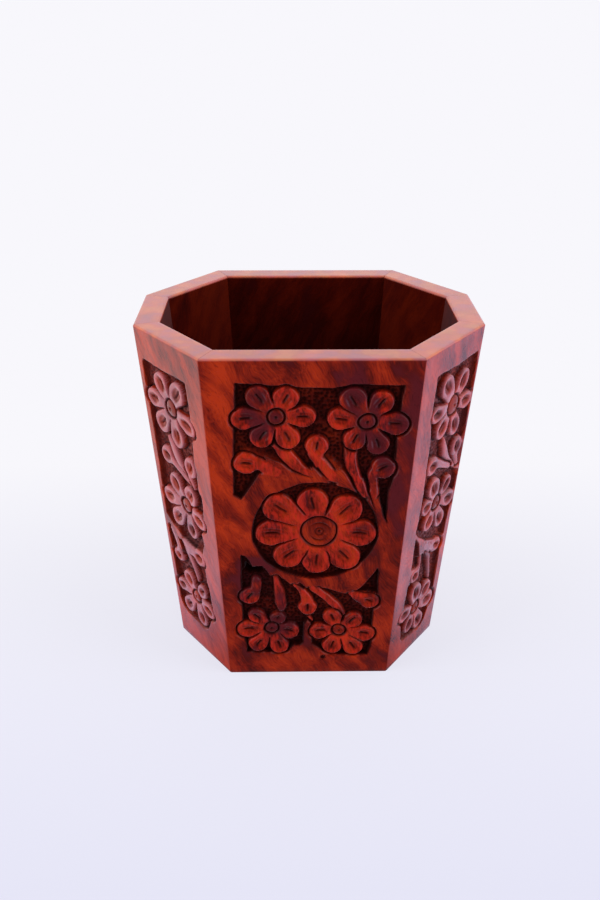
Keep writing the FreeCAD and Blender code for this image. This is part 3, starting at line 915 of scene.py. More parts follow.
    def carve_flower(self, flower: Flower) -> None:
        """Carve a flower: petals parted by V cuts, a gouged hollow in each, and a ringed eye.

        Args:
            flower: Places and sizes of the eye and the petals.
        """
        from_eye = np.hypot(self.x - flower.across, self.y - flower.up)
        gaps, hollows, stain_and_shade_maps = (np.stack(group) for group in zip(
            *(self.carve_petal(petal, flower) for petal in flower.petals)))
        order = np.argsort(gaps, axis=0)
        nearest, next_nearest = order[0][None], order[1][None]
        gap, hollow, stain = (np.take_along_axis(group, nearest, axis=0)[0]
                              for group in (gaps, hollows, stain_and_shade_maps))
        second = np.take_along_axis(gaps, next_nearest, axis=0)[0]
        collar = flower.eye + 0.16 * (flower.eye + 3.0)
        gap = np.minimum(gap, from_eye - collar)
        self.cut_around(gap, self.groove_depth)
        away = soft_step(collar - 0.2, collar + 2.0, from_eye)
        parting = np.clip(1.0 - (second - gap) / self.parting_width, 0.0, 1.0) * away
        dish = self.petal_dish * soft_step(flower.eye + 3.5, flower.eye, from_eye)
        top = -0.06 - dish - hollow * away - parting
        top -= self.petal_edge * soft_step(0.75, 0.0, -gap)
        # The V between petals is darkened: stain and painted shade.
        gathered = self.parting_stain_and_shade * soft_step(0.2, 0.9, parting)
        self.stand(gap, top, np.maximum(stain * away, gathered))
        self.carve_eye(flower, from_eye)

    def carve_eye(self, flower: Flower, from_eye: np.ndarray) -> None:
        """Carve the boss in the middle of a flower with its ring groove and punched dot.

        Args:
            flower: The flower that the eye belongs to.
            from_eye: Distance from the eye's middle at every grid point.
        """
        gap = from_eye - flower.eye
        self.cut_around(gap, self.eye_groove, wide=1.1 if flower.inner_ring else 1.35)
        boss = -0.12 - self.boss_round * (from_eye / flower.eye) ** 2
        ring, well = np.zeros(boss.shape), np.zeros(boss.shape)
        if flower.inner_ring:
            bearing = np.arctan2(self.y - flower.up, self.x - flower.across)
            crescent = 0.6 - 0.4 * np.cos(2.0 * bearing + 0.6)
            outer = np.clip(1.0 - np.abs(from_eye - flower.inner_ring) / 0.5, 0.0, 1.0)
            inner = np.clip(1.0 - np.abs(from_eye - 0.4 * flower.inner_ring) / 0.4, 0.0, 1.0)
            ring = np.maximum(crescent * outer, 0.6 * inner)
            well = soft_step(flower.inner_ring, flower.inner_ring - 0.5, from_eye)
        dot = soft_step(0.7, 0.15, from_eye)
        # Darker in the ring groove, most on two opposite sides, and in the dot: stain with painted shade.
        stain = self.dressing.eye_stain + self.well_stain * well + self.ring_stain_and_shade * ring
        top = boss - self.ring_depth * ring - self.dot_depth * dot - self.well_depth * well
        self.stand(gap, top, np.maximum(stain, self.dot_stain_and_shade * dot))
        self.fresh = np.where(gap < 0, -1.0, self.fresh)

    def carve_bud(self, bud: Bud) -> None:
        """Carve a bud: a round head with a gouged cheek, and its stalk.

        Args:
            bud: Places and sizes of the head and the stalk.
        """
        along, side, _ = self.from_axis(bud.across, bud.up, *bud.stalk[0][:2])
        head = np.hypot(along / bud.squash, side) - bud.radius
        merge = soft_step(*self.stem_merge, self.plain) * soft_step(0.2, 1.6, head)
        path = ((bud.across, bud.up, bud.radius * 0.82),) + bud.stalk
        gap = np.minimum(head, self.stroke_distance(path))
        self.cut_around(gap, self.groove_depth, 1 - merge)
        length, width = self.bud_bowl
        hollow, stain = self.cheek(along, side, bud.radius * length * bud.squash, bud.radius * width)
        top = -self.leaf_edge + self.leaf_rise * soft_step(0.0, 1.1, -gap) - hollow
        self.stand(gap, top * (1 - merge) + self.depth * merge, stain * (1 - merge) + self.dark * merge)

    def drill(self, across: float, up: float) -> None:
        """Sink the shallow pit around a brad's head, darkened by staining and painted shade.

        Args:
            across: Place across of the brad.
            up: Place up of the brad.
        """
        away = np.hypot(self.across - across, self.up - up)
        self.depth = self.depth - self.pit_depth * soft_step(0.95, 0.6, away)
        # The pit is darkened: stain and painted shade.
        self.dark = np.maximum(self.dark, self.pit_stain_and_shade * soft_step(1.1, 0.6, away))

    def planed(self) -> np.ndarray:
        """Depth of the faint waves that the plane and the scraper leave on the plain face."""
        waves = self.plane_wave * self.noise(self.plane_length, Draw.PLANE) - self.plane_wave
        return waves + self.scraper_wave * self.noise(self.scraper_length, Draw.SCRAPER) - self.scraper_wave

    def carve(self, carving: Carving) -> None:
        """Carve a whole stave in the order that a carver works.

        Args:
            carving: The stave's motifs.
        """
        for tool, motifs in ((self.sink, carving.hollows), (self.carve_stroke, carving.strokes),
                             (self.carve_bud, carving.buds), (self.carve_cut, carving.cuts),
                             (self.carve_flower, carving.flowers)):
            for motif in motifs:
                tool(motif)


# ---- Finishes -------------------------------------------------------------------------------

@dataclass(frozen=True)
class Sheesham:
    """Sheesham, Indian rosewood: hand carved, stained red-brown, then brushed with clear lacquer.

    The eye gets slanting flames of orange and violet-brown figure under a wet-looking coat,
    with the staining and painted shade almost black in the punched ground and the V cuts, and
    a pale pinkish painted sheen on the motifs of some staves. The figure's bands and streaks
    have the width of growth rings, and the pores are drawn at twice their real 0.15 mm so
    that they show. The haze is fine dust in the lacquer, which greys the wood at a grazing
    angle.
    """

    name: str = "sheesham_carved_stained_lacquered"
    deep: str = "#420703"
    body: str = "#681203"
    flame: str = "#902404"
    violet: str = "#470e14"
    gouged: str = "#a21c0e"
    # Pale pinkish colour mixed into the motifs: painted sheen of the lacquer.
    bloom: str = "#a0707e"
    # Near-black of the stain with painted shade, also the colour of the open pores.
    ground: str = "#1a0100"
    end_grain: str = "#b06252"
    end_light: str = "#bc7050"
    end_dull: str = "#a06068"
    figure_width: float = 4.2 * MM
    figure_length: float = 15.0 * MM
    streak_width: float = 0.42 * MM
    streak_length: float = 9.0 * MM
    pore_width: float = 0.3 * MM
    pore_length: float = 2.6 * MM
    sway_cell: float = 12.0 * MM
    sway_reach: float = 7.0 * MM
    mottle_cell: float = 6.0 * MM
    gouge_mark_width: float = 0.7 * MM
    gouge_mark_length: float = 2.4 * MM
    brush_cell: float = 1.6 * MM
    brush_depth: float = 0.12 * MM
    slant: float = -28.0
    tone_gain: float = 0.42
    tone_shift: float = -0.38
    streak_share: float = 0.6
    violet_share: float = 0.9
    pore_share: float = 0.4
    gouged_share: float = 0.62
    end_share: float = 0.6
    brush_strength: float = 0.12
    bare_gloss: float = 0.02
    roughness: float = 0.45
    ground_roughness: float = 0.8
    lacquer_ior: float = 1.5
    coat_roughness: float = 0.13
    ground_coat: float = 0.05
    haze: float = 0.12
    haze_roughness: float = 0.35
    haze_tint: str = "#f0d8e4"

    def material(self) -> bpy.types.Material:
        """Build the node material, which reads what each stave stores at its points.

        Returns:
            The finished material.
        """
        made = bpy.data.materials.new(self.name)
        node = partial(add_node, empty_tree(made))
        place = node("Attribute", {"attribute_name": "grain"}).outputs["Vector"]
        read = {name: node("Attribute", {"attribute_name": name}).outputs["Fac"]
                for name in ("tone", "end_grain", "fresh", "stain", "bloom")}
        blotch = node("TexNoise", {"Scale": 1 / self.mottle_cell, "Detail": 2.5}, {"Vector": place})
        mottle = fill_ramp(node("ValToRGB", {}, {"Fac": blotch}),
                           [(0.36, self.end_dull), (0.5, self.end_grain), (0.64, self.end_light)])
        rim = node("Math", {"operation": "MULTIPLY", 1: self.end_share}, {0: read["end_grain"]})
        wood = node("Mix", {"data_type": "RGBA"}, {0: rim, 6: self.figure(node, place, read["tone"]),
                                                   7: mottle})
        marks = self.stretched_noise(node, place, self.gouge_mark_width, self.gouge_mark_length, 2.0)
        marked = node("MapRange", {"From Min": 0.38, "From Max": 0.62, "To Max": self.gouged_share},
                      {"Value": marks})
        fresh = node("Math", {"operation": "MULTIPLY"}, {0: read["fresh"], 1: marked})
        # Mixed in turn: the gouged red, the near-black of stain with painted shade, and a pale painted
        # sheen.
        for share, colour in ((fresh, self.gouged), (read["stain"], self.ground),
                              (read["bloom"], self.bloom)):
            wood = node("Mix", {"data_type": "RGBA", 7: linear(colour)}, {0: share, 6: wood.outputs[2]})
        brushed = node("TexNoise", {"Scale": 1 / self.brush_cell, "Detail": 2.0}, {"Vector": place})
        bump = node("Bump", {"Strength": self.brush_strength, "Distance": self.brush_depth},
                    {"Height": brushed})
        rough = node("MapRange", {"To Min": self.roughness, "To Max": self.ground_roughness},
                     {"Value": read["stain"]})
        lacquer = node("MapRange", {"To Min": 1.0, "To Max": self.ground_coat}, {"Value": read["stain"]})
        shader = node("BsdfPrincipled",
                      {"IOR": self.lacquer_ior, "Specular IOR Level": self.bare_gloss,
                       "Coat Roughness": self.coat_roughness, "Coat IOR": self.lacquer_ior,
                       "Sheen Weight": self.haze, "Sheen Roughness": self.haze_roughness,
                       "Sheen Tint": linear(self.haze_tint)},
                      {"Base Color": wood.outputs[2], "Roughness": rough, "Coat Weight": lacquer,
                       "Normal": bump, "Coat Normal": bump})
        node("OutputMaterial", {}, {"Surface": shader})
        return made

    def figure(self, node: Callable, place: bpy.types.NodeSocket, tone: bpy.types.NodeSocket
               ) -> bpy.types.NodeSocket:
        """Draw the wood's figure: flames, violet heartwood, fine streaks and pores.

        Args:
            node: Function that adds a node to the material.
            place: Socket with the place in the board.
            tone: Socket with the tone of the wood there.

        Returns:
            The socket with the wood's colour before any stain.
        """
        turned = node("VectorRotate", {"rotation_type": "Z_AXIS", "Angle": math.radians(self.slant)},
                      {"Vector": place})
        wander = node("TexNoise", {"Scale": 1 / self.sway_cell, "Detail": 2.0}, {"Vector": turned})
        centred = node("VectorMath", {"operation": "SUBTRACT", 1: (0.5, 0.5, 0.5)},
                       {0: wander.outputs["Color"]})
        sway = node("VectorMath", {"operation": "SCALE", "Scale": self.sway_reach}, {0: centred})
        grain = node("VectorMath", {"operation": "ADD"}, {0: turned, 1: sway})
        flames = self.stretched_noise(node, grain, self.figure_width, self.figure_length, 1.6)
        streaks = self.stretched_noise(node, grain, self.streak_width, self.streak_length, 3.0)
        pores = self.stretched_noise(node, grain, self.pore_width, self.pore_length, 2.0)
        shifted = node("Math", {"operation": "MULTIPLY_ADD", 1: self.tone_gain, 2: self.tone_shift},
                       {0: tone})
        streaked = node("Math", {"operation": "MULTIPLY_ADD", 1: self.streak_share},
                        {0: streaks, 2: shifted})
        level = node("Math", {"operation": "ADD"}, {0: flames, 1: streaked})
        wood = fill_ramp(node("ValToRGB", {}, {"Fac": level}),
                         [(0.43, self.deep), (0.64, self.body), (0.96, self.flame)])
        cold = node("Math", {"operation": "MULTIPLY_ADD", 1: 0.9}, {0: flames, 2: tone})
        violet = node("MapRange", {"interpolation_type": "SMOOTHSTEP", "From Min": 0.76,
                                   "From Max": 0.46, "To Max": self.violet_share}, {"Value": cold})
        clouded = node("Mix", {"data_type": "RGBA", 7: linear(self.violet)}, {0: violet, 6: wood})
        open_pores = node("MapRange", {"From Min": 0.3, "From Max": 0.42, "To Min": self.pore_share,
                                       "To Max": 0.0}, {"Value": pores})
        return node("Mix", {"data_type": "RGBA", 7: linear(self.ground)},
                    {0: open_pores, 6: clouded.outputs[2]}).outputs[2]

    @staticmethod
    def stretched_noise(node: Callable, place: bpy.types.Node | bpy.types.NodeSocket, width: float,
                        length: float, detail: float) -> bpy.types.Node:
        """Noise drawn out along the grain.

        Args:
            node: Function that adds a node to the material.
            place: What gives the place in the board, with the grain along Y.
            width: Size of a feature across the grain.
            length: Size of a feature along the grain.
            detail: Number of finer octaves.

        Returns:
            The noise node.
        """
        scaled = node("Mapping", {"Scale": (1 / width, 1 / length, 1 / width)}, {"Vector": place})
        return node("TexNoise", {"Scale": 1.0, "Detail": detail, "Roughness": 0.5, "Distortion": 0.2},
                    {"Vector": scaled})


@dataclass(frozen=True)
class WireSteel:
    """Drawn mild steel wire, cut and headed as a brad, under the wood's stain and lacquer.

    The eye gets a dull red-brown dot with no glint.
    """

    name: str = "steel_brad_dull"
    colour: str = "#96443a"
    tarnish: str = "#5c2018"
    tarnish_cell: float = 0.4 * MM
    polished: float = 0.38
    pitted: float = 0.7

    def material(self) -> bpy.types.Material:
        """Build the node material.

        Returns:
            The finished material.
        """
        made = bpy.data.materials.new(self.name)
        node = partial(add_node, empty_tree(made))
        place = node("TexCoord").outputs["Object"]
        spots = node("TexNoise", {"Scale": 1 / self.tarnish_cell, "Detail": 3.0}, {"Vector": place})
        colour = fill_ramp(node("ValToRGB", {}, {"Fac": spots}),
                           [(0.35, self.tarnish), (0.65, self.colour)])
        rough = node("MapRange", {"To Min": self.polished, "To Max": self.pitted}, {"Value": spots})
        shader = node("BsdfPrincipled", {"Metallic": 1.0}, {"Base Color": colour, "Roughness": rough})
        node("OutputMaterial", {}, {"Surface": shader})
        return made


# ---- Meshes ---------------------------------------------------------------------------------

def graded(low: float, high: float, fine_low: float, fine_high: float, fine: float, coarse: float
           ) -> np.ndarray:
    """Grid lines that are close together over one stretch and further apart beyond it.

    Args:
        low: First line.
        high: Last line.
        fine_low: Start of the close stretch.
        fine_high: End of the close stretch.
        fine: Spacing on the close stretch.
        coarse: Spacing beyond it.

    Returns:
        All lines in rising order.
    """
    parts = []
    for start, end, step in ((low, fine_low, coarse), (fine_low, fine_high, fine),
                             (fine_high, high, coarse)):
        count = max(1, round((end - start) / step))
        parts.append(np.linspace(start, end, count + 1)[:-1])
    return np.concatenate(parts + [np.array([high])])


def ring_faces(start: int, rings: int, sides: int, flip: bool = False) -> list[list[int]]:
    """Faces of a closed solid made of rings of points, one beyond another.

    Args:
        start: Number of the first point.
        rings: Number of rings.
        sides: Points in each ring.
        flip: Whether the faces turn the other way.

    Returns:
        Corner numbers of each face, the two ends last.
    """
    faces = []
    for ring in range(start, start + (rings - 1) * sides, sides):
        for side in range(sides):
            a, b = ring + side, ring + (side + 1) % sides
            faces.append([a, b, b + sides, a + sides])
    last = start + (rings - 1) * sides
    faces.append(list(range(start, start + sides))[::-1])
    faces.append(list(range(last, last + sides)))
    return [face[::-1] for face in faces] if flip else faces


def mesh_object(name: str, points: np.ndarray, faces: list[list[int]]) -> bpy.types.Object:
    """Make a mesh object from points in millimetres.

    Args:
        name: Name of the object and its mesh.
        points: One row of x, y and z for each point.
        faces: Corner numbers of each face.

    Returns:
        The object, linked to the scene, in metres.
    """
    mesh = bpy.data.meshes.new(name)
    mesh.from_pydata((points * MM).tolist(), [], faces)
    mesh.update()
    made = bpy.data.objects.new(name, mesh)
    bpy.context.scene.collection.objects.link(made)
    return made


def store(mesh: bpy.types.Mesh, name: str, values: np.ndarray) -> None:
    """Store one number, or one place, for each point of a mesh.

    Args:
        mesh: The mesh.
        name: Name that the material reads.
        values: One value or one row of three for each point.
    """
    kind, key = ("FLOAT", "value") if values.ndim == 1 else ("FLOAT_VECTOR", "vector")
    layer = mesh.attributes.new(name, kind, "POINT")
    layer.data.foreach_set(key, values.astype(np.float32).ravel())


@dataclass(frozen=True)
class Net:
    """Places of a stave's points before it is carved, by row around it and column across it.

    z and through have one column only. The first rows, outer of them, lie on the outer face.
    edge and the fades that follow from it are on those rows only.
    """

    across: np.ndarray      # place across the stave
    inward: np.ndarray      # level distance behind the stave's sharp outline
    share: np.ndarray       # share of the way from the left mitre to the right one
    up: np.ndarray          # place up the slope of the face
    z: np.ndarray           # height
    through: np.ndarray     # share of the way through the wall
    edge: np.ndarray        # distance to the nearer rounded corner
    outer: int


@dataclass
class Stave:
    """One mitred stave with its carving, rounded corners and eased rim.

    fine_step spaces the points on the carving and margin beside its petals, and coarse_step
    spaces the rest. skin sets the face behind the plan's outline, to stay inside the solids.
    Each tone is how much a wave, an eye's end grain or a patch of figure changes the wood's tone.
    """

    plan: StandPlan
    place: Place
    carving: Carving
    finish: bpy.types.Material
    brad_hole: bool = False
    dressing: Dressing = Dressing()
    figure: tuple[Patch, ...] = ()
    fine_step: float = 0.24
    coarse_step: float = 1.2
    margin: float = 4.2
    corner_radius: float = 0.6
    rim_ease: float = 0.6
    foot_ease: float = 0.5
    glue_line: float = 0.03
    skin: float = 0.03
    corner_steps: int = 5
    top_steps: int = 11
    inner_steps: int = 7
    foot_steps: int = 4
    # Darkness of the inner face below the rim: painted shade inside the stand.
    inner_painted_shade: float = 0.86
    seam_stain: float = 0.35
    broad_cell: float = 11.0
    broad_tone: float = 0.25
    fine_cell: float = 4.0
    fine_tone: float = 0.16
    motif_cell: float = 3.4
    motif_tone: float = 0.26
    eye_tone: float = 0.3
    figure_tone: float = 0.6

    @property
    def seed(self) -> int:
        """Number that makes this stave's grain and tool marks its own."""
        return 100 + 37 * self.place.value

    def turns(self) -> tuple[float, float]:
        """Angles through which the wall turns at the stave's left and right corners."""
        return self.plan.turn(self.place.value), self.plan.turn(self.place.value + 1)

    def rim_edge(self) -> np.ndarray:
        """Left and right corners of the stave's outer edge at the rim."""
        rim = self.plan.outline(self.plan.height)
        return rim[[self.place.value, (self.place.value + 1) % 8]]

    def half_width(self, height: float | np.ndarray) -> float | np.ndarray:
        """Half of the stave's width at one height, less the glue in its mitre."""
        left, right = self.rim_edge()
        return float(np.linalg.norm(right - left)) / 2 * self.plan.scale(height) - self.glue_line

    def frame_axes(self) -> tuple[np.ndarray, np.ndarray, np.ndarray]:
        """Level frame of the stave at the rim.

        Returns:
            Middle of the rim's edge, direction across the stave and direction out of it.
        """
        left, right = self.rim_edge()
        across = (right - left) / np.linalg.norm(right - left)
        return (left + right) / 2, across, np.array([across[1], -across[0]])

    def slope(self) -> float:
        """Angle in radians by which the stave's face leans back towards its foot."""
        middle, _, out_axis = self.frame_axes()
        return math.atan2(float(middle @ out_axis) * (1 - self.plan.foot_ratio), self.plan.height)

    def ground_span(self, axis: int) -> tuple[float, float]:
        """Lowest and highest place of the sunk ground, across (0) or up (1) the stave."""
        places = [corner[axis] for one in self.carving.hollows if not one.oval for corner in one.corners]
        return min(places), max(places)

    def columns(self) -> tuple[np.ndarray, np.ndarray, np.ndarray]:
        """Grid columns of the stave.

        Returns:
            Share across between the rounded corners from -1 to 1, angle of each rounded-corner
            column, and which end each of those belongs to (-1, 0 or 1).
        """
        places = [petal.across for one in self.carving.flowers for petal in one.petals]
        places += self.ground_span(0)
        half = self.half_width(self.plan.height / 2) - 1.0
        low = max(-0.96, (min(places) - self.margin) / half)
        high = min(0.96, (max(places) + self.margin) / half)
        inner = graded(-1.0, 1.0, low, high, self.fine_step / half, self.coarse_step / half)
        steps = np.linspace(0.0, 1.0, self.corner_steps + 1)[1:]
        left, right = (steps * turn / 2 for turn in self.turns())
        ones = np.ones(len(steps))
        share = np.concatenate([-ones, inner, ones])
        angle = np.concatenate([left[::-1], np.zeros(len(inner)), right])
        end = np.concatenate([-ones, np.zeros(len(inner)), ones])
        return share, angle, end

    def loop(self) -> tuple[np.ndarray, np.ndarray, int]:
        """Heights and depths through the wall of the rows that wrap around the stave.

        Returns:
            Height of each row, share of the way through the wall, and the number of rows that
            lie on the outer face.
        """
        height, wall, ease, heel = self.plan.height, self.plan.wall, self.rim_ease, self.foot_ease
        lowest, highest = self.ground_span(1)
        fine_low = self.plan.brad_height - 1.4 if self.brad_hole else lowest - 1.5
        outer = graded(heel, height - ease, fine_low, highest + 2.0, self.fine_step, self.coarse_step)
        outer = np.insert(outer, -1, height - ease - 0.2)
        quarter = np.linspace(0.0, math.pi / 2, self.corner_steps + 1)[1:]
        rise = height - ease + ease * np.sin(quarter)
        enter = ease * (1 - np.cos(quarter))
        flat = np.linspace(ease, wall - ease, self.top_steps + 1)[1:-1]
        inner = np.concatenate([height - ease - np.array([0.2, 0.9]),
                                np.linspace(height - 4.0, heel, self.inner_steps + 1)[:-1]])
        foot = np.linspace(wall, heel, self.foot_steps + 1)
        bend = np.linspace(0.0, math.pi / 2, self.foot_steps + 1)[1:-1]
        z = np.concatenate([outer, rise, np.full(len(flat), height), rise[::-1], inner,
                            np.zeros(len(foot)), heel * (1 - np.sin(bend))])
        deep = np.concatenate([np.zeros(len(outer)), enter, flat, wall - enter[::-1],
                               np.full(len(inner), wall), foot, heel * (1 - np.sin(bend[::-1]))])
        return z, deep / wall, len(outer)

    def net(self) -> Net:
        """Lay out the stave's points before it is carved.

        Returns:
            The places of all points.
        """
        share, angle, end = self.columns()
        heights, through, outer = self.loop()
        z, q, wall = heights[:, None], through[:, None], self.plan.wall
        half = self.half_width(z)
        left, right = (math.tan(turn / 2) for turn in self.turns())
        flat_low, flat_high = -(half - self.corner_radius * left), half - self.corner_radius * right
        across = flat_low + (flat_high - flat_low) * (share[None, :] + 1) / 2
        across = across + end[None, :] * self.corner_radius * np.sin(angle)[None, :]
        edge = np.minimum(across - flat_low, flat_high - across)[:outer]
        even = (across - across[:, :1]) / (across[:, -1:] - across[:, :1])
        inner_low, inner_high = -(half - wall * left), half - wall * right
        across = across + (inner_low + (inner_high - inner_low) * even - across) * q
        inward = (self.corner_radius * (1 - np.cos(angle)))[None, :]
        inward = self.skin + inward + (wall - self.skin - inward) * q
        up = z / math.cos(self.slope()) + 0 * across
        return Net(across, inward, even, up, z, q, edge, outer)

    def points(self, net: Net, depth: np.ndarray) -> np.ndarray:
        """Places in the stand of the stave's points.

        Args:
            net: The places before the stave was carved.
            depth: Depth of the carving at every point.

        Returns:
            Rows and columns of x, y and z.
        """
        middle, across_axis, out_axis = self.frame_axes()
        size, slope = self.plan.scale(net.z), self.slope()
        level = [middle[i] * size + across_axis[i] * net.across - out_axis[i] * net.inward
                 + out_axis[i] * math.cos(slope) * depth for i in (0, 1)]
        return np.stack([*level, net.z - math.sin(slope) * depth + 0 * net.across], axis=-1)

    def build(self) -> bpy.types.Object:
        """Model the stave, dress it and put it in its CAD node's place.

        Returns:
            The finished piece.
        """
        net = self.net()
        relief = Relief(net.across[:net.outer], net.up[:net.outer], self.seed, self.dressing)
        relief.carve(self.carving)
        if self.brad_hole:
            relief.drill(self.plan.brad_offset, self.plan.brad_height)
        height = net.z[:net.outer]
        carved = relief.depth * soft_step(0.0, 0.5, net.edge)
        carved = carved + relief.planed() * soft_step(0.0, 4.0, net.edge)
        ends = soft_step(0.0, 3.0, height) * soft_step(0.0, 2.0, self.plan.height - height)
        depth = self.on_outer_face(net, carved * ends)
        index = np.arange(depth.size).reshape(depth.shape)
        above = np.roll(index, -1, axis=0)
        quads = np.stack([index[:, :-1], index[:, 1:], above[:, 1:], above[:, :-1]], axis=-1)
        faces = quads.reshape(-1, 4).tolist() + [index[:, 0].tolist(), index[::-1, -1].tolist()]
        piece = mesh_object("stave_" + self.place.name.lower(),
                            self.points(net, depth).reshape(-1, 3), faces)
        self.shade(piece.data, index)
        self.dress(piece.data, net, relief, depth)
        piece.data.materials.append(self.finish)
        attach(piece, "root")
        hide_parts(self.place.node)
        LOG.info("%s: %d faces", piece.name, len(piece.data.polygons))
        return piece

    @staticmethod
    def on_outer_face(net: Net, values: np.ndarray) -> np.ndarray:
        """Values of the outer face's rows, with zeros on all other rows."""
        return np.pad(values, ((0, len(net.across) - net.outer), (0, 0)))

    def shade(self, mesh: bpy.types.Mesh, index: np.ndarray) -> None:
        """Shade the wrapped surface smooth and keep the two mitre faces flat.

        Args:
            mesh: The stave's mesh.
            index: Point numbers by row and column.
        """
        smooth = np.ones(len(mesh.polygons), bool)
        smooth[-2:] = False
        mesh.polygons.foreach_set("use_smooth", smooth)
        ends = np.zeros(len(mesh.vertices), int)
        ends[index[:, 0]] = 1
        ends[index[:, -1]] = 2
        pairs = np.zeros(len(mesh.edges) * 2, np.int32)
        mesh.edges.foreach_get("vertices", pairs)
        first, second = ends[pairs.reshape(-1, 2)].T
        layer = mesh.attributes.new("sharp_edge", "BOOLEAN", "EDGE")
        layer.data.foreach_set("value", (first > 0) & (first == second))
        mesh.update()

    def dress(self, mesh: bpy.types.Mesh, net: Net, relief: Relief, depth: np.ndarray) -> None:
        """Store what the wood material reads at every point.

        Args:
            mesh: The stave's mesh.
            net: The places before the stave was carved.
            relief: The carving of the outer face.
            depth: Depth of the carving at every point.
        """
        top, dressing = self.plan.height, self.dressing
        fade = soft_step(0.0, 0.5, net.edge)
        clean = soft_step(0.6, 0.0, relief.dark)
        fresh = self.on_outer_face(net, relief.fresh * fade * clean) * dressing.gouged
        # A pale pinkish painted sheen on the motifs, and a little in the sunk ground.
        pale = dressing.bloom * np.maximum(relief.fresh, 0.0) * soft_step(0.25, 0.0, relief.dark)
        ground_sheen = dressing.ground_painted_sheen * soft_step(0.5, 1.2, -relief.depth) * (relief.fresh <= 0)
        rim = soft_step(top - 0.55, top - 0.25, net.z) + 0 * net.across
        # The inner face below the rim is darkened: painted shade.
        inside = soft_step(0.9, 1.0, net.through) * (1 - soft_step(top - 0.8, top - 0.4, net.z))
        seam = self.seam_stain * rim * np.where(np.abs(net.share - 0.5) > 0.499, 1.0, 0.0)
        # Stain with painted shade from the carving, plus dark joints at the mitres and painted shade on the
        # inner face.
        stain = self.on_outer_face(net, relief.dark * soft_step(0.0, 0.12, net.edge))
        tone = self.tone(net, fresh)
        draw = np.random.default_rng(self.seed).uniform(-400.0, 400.0, 3)
        grain = np.stack([net.across + draw[0], net.up + draw[1], depth - net.inward + draw[2]], axis=-1)
        store(mesh, "grain", grain.reshape(-1, 3) * MM)
        for name, values in (
                ("tone", tone), ("end_grain", rim),
                ("bloom", self.on_outer_face(net, fade * (pale + ground_sheen))),
                ("stain", np.clip(stain + seam + self.inner_painted_shade * inside, 0.0, 1.0)),
                ("fresh", np.maximum(fresh, 0.0) * soft_step(0.05, 0.4, tone))):
            store(mesh, name, values.ravel())

    def tone(self, net: Net, fresh: np.ndarray) -> np.ndarray:
        """Tone of the wood from violet to orange.

        Args:
            net: The places of the stave's points.
            fresh: One where the gouge left a clean face, minus one on the end grain of an eye.

        Returns:
            The tone at every point, between 0 and 1.
        """
        broad, fine, motif = (
            drift(net.across, net.up, cell, self.seed + draw.value)
            for cell, draw in ((self.broad_cell, Draw.BROAD_TONE), (self.fine_cell, Draw.FINE_TONE),
                               (self.motif_cell, Draw.MOTIF_TONE)))
        tone = self.dressing.warmth + self.broad_tone * broad
        tone = tone + self.fine_tone * fine + self.eye_tone * np.minimum(fresh, 0.0)
        tone = tone + self.motif_tone * motif * np.maximum(fresh, 0.0)
        for patch in self.figure:
            ratio = (((net.across - patch.across) / patch.wide) ** 2
                     + ((net.up - patch.up) / patch.tall) ** 2)
            tone = tone + self.figure_tone * patch.tone * np.exp(-ratio)
        return np.clip(tone, 0.0, 1.0)


@dataclass
class BaseBoard:
    """The board that closes the foot, let in flush between the staves."""

    plan: StandPlan
    finish: bpy.types.Material
    gap: float = 0.05
    ease: float = 0.35
    stain: float = 0.45
    tone: float = 0.5

    def build(self) -> bpy.types.Object:
        """Model the board, dress it and put it in its CAD node's place.

        Returns:
            The finished piece.
        """
        top = self.plan.base_thickness
        rings = []
        for level, inset in ((0.0, self.ease), (self.ease, 0.0), (top - self.ease, 0.0),
                             (top, self.ease)):
            corners = self.plan.outline(level, self.plan.wall + self.gap + inset)
            rings.append(np.column_stack([corners, np.full(8, level)]))
        points = np.concatenate(rings)
        piece = mesh_object("base_board_wood", points, ring_faces(0, len(rings), 8))
        store(piece.data, "grain", points[:, [1, 0, 2]] * MM)
        for name, value in (("stain", self.stain), ("end_grain", 0.0), ("tone", self.tone),
                            ("bloom", 0.0), ("fresh", 0.0)):
            store(piece.data, name, np.full(len(points), value))
        piece.data.materials.append(self.finish)
        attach(piece, "root")
        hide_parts("base_board")
        LOG.info("%s: %d faces", piece.name, len(piece.data.polygons))
        return piece


@dataclass
class Brads:
    """The two wire brads that pin the front and back staves to the base board.

    Each is turned from a profile of widths, as shares of the radius, and depths below the top
    of its domed head.
    """

    plan: StandPlan
    finish: bpy.types.Material
    radius: float = 0.66
    sink: float = 0.34
    length: float = 15.5
    sides: int = 24

    def build(self) -> bpy.types.Object:
        """Turn both brads and put them in their CAD node's place.

        Returns:
            The finished piece.
        """
        head = [(0.001, 0.0), (0.6, 0.018), (0.92, 0.072), (1.0, 0.168)]
        shank = [(1.0, 0.95 * self.length), (0.9, self.length), (0.001, self.length)]
        profile = head + shank
        face = -self.plan.outline(self.plan.brad_height)[0][1]
        points, faces = [], []
        for sign in (-1.0, 1.0):
            faces += ring_faces(len(points), len(profile), self.sides, flip=sign > 0)
            for wide, deep in profile:
                for side in range(self.sides):
                    turn = 2 * math.pi * side / self.sides
                    points.append((
                        -sign * self.plan.brad_offset + wide * self.radius * math.cos(turn),
                        sign * (face - (self.sink + deep)),
                        self.plan.brad_height + wide * self.radius * math.sin(turn)))
        piece = mesh_object("brads_wire", np.array(points), faces)
        piece.data.polygons.foreach_set("use_smooth", np.ones(len(piece.data.polygons), bool))
        piece.data.materials.append(self.finish)
        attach(piece, "root")
        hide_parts("base_brads")
        LOG.info("%s: %d faces", piece.name, len(piece.data.polygons))
        return piece


# ---- Studio ---------------------------------------------------------------------------------

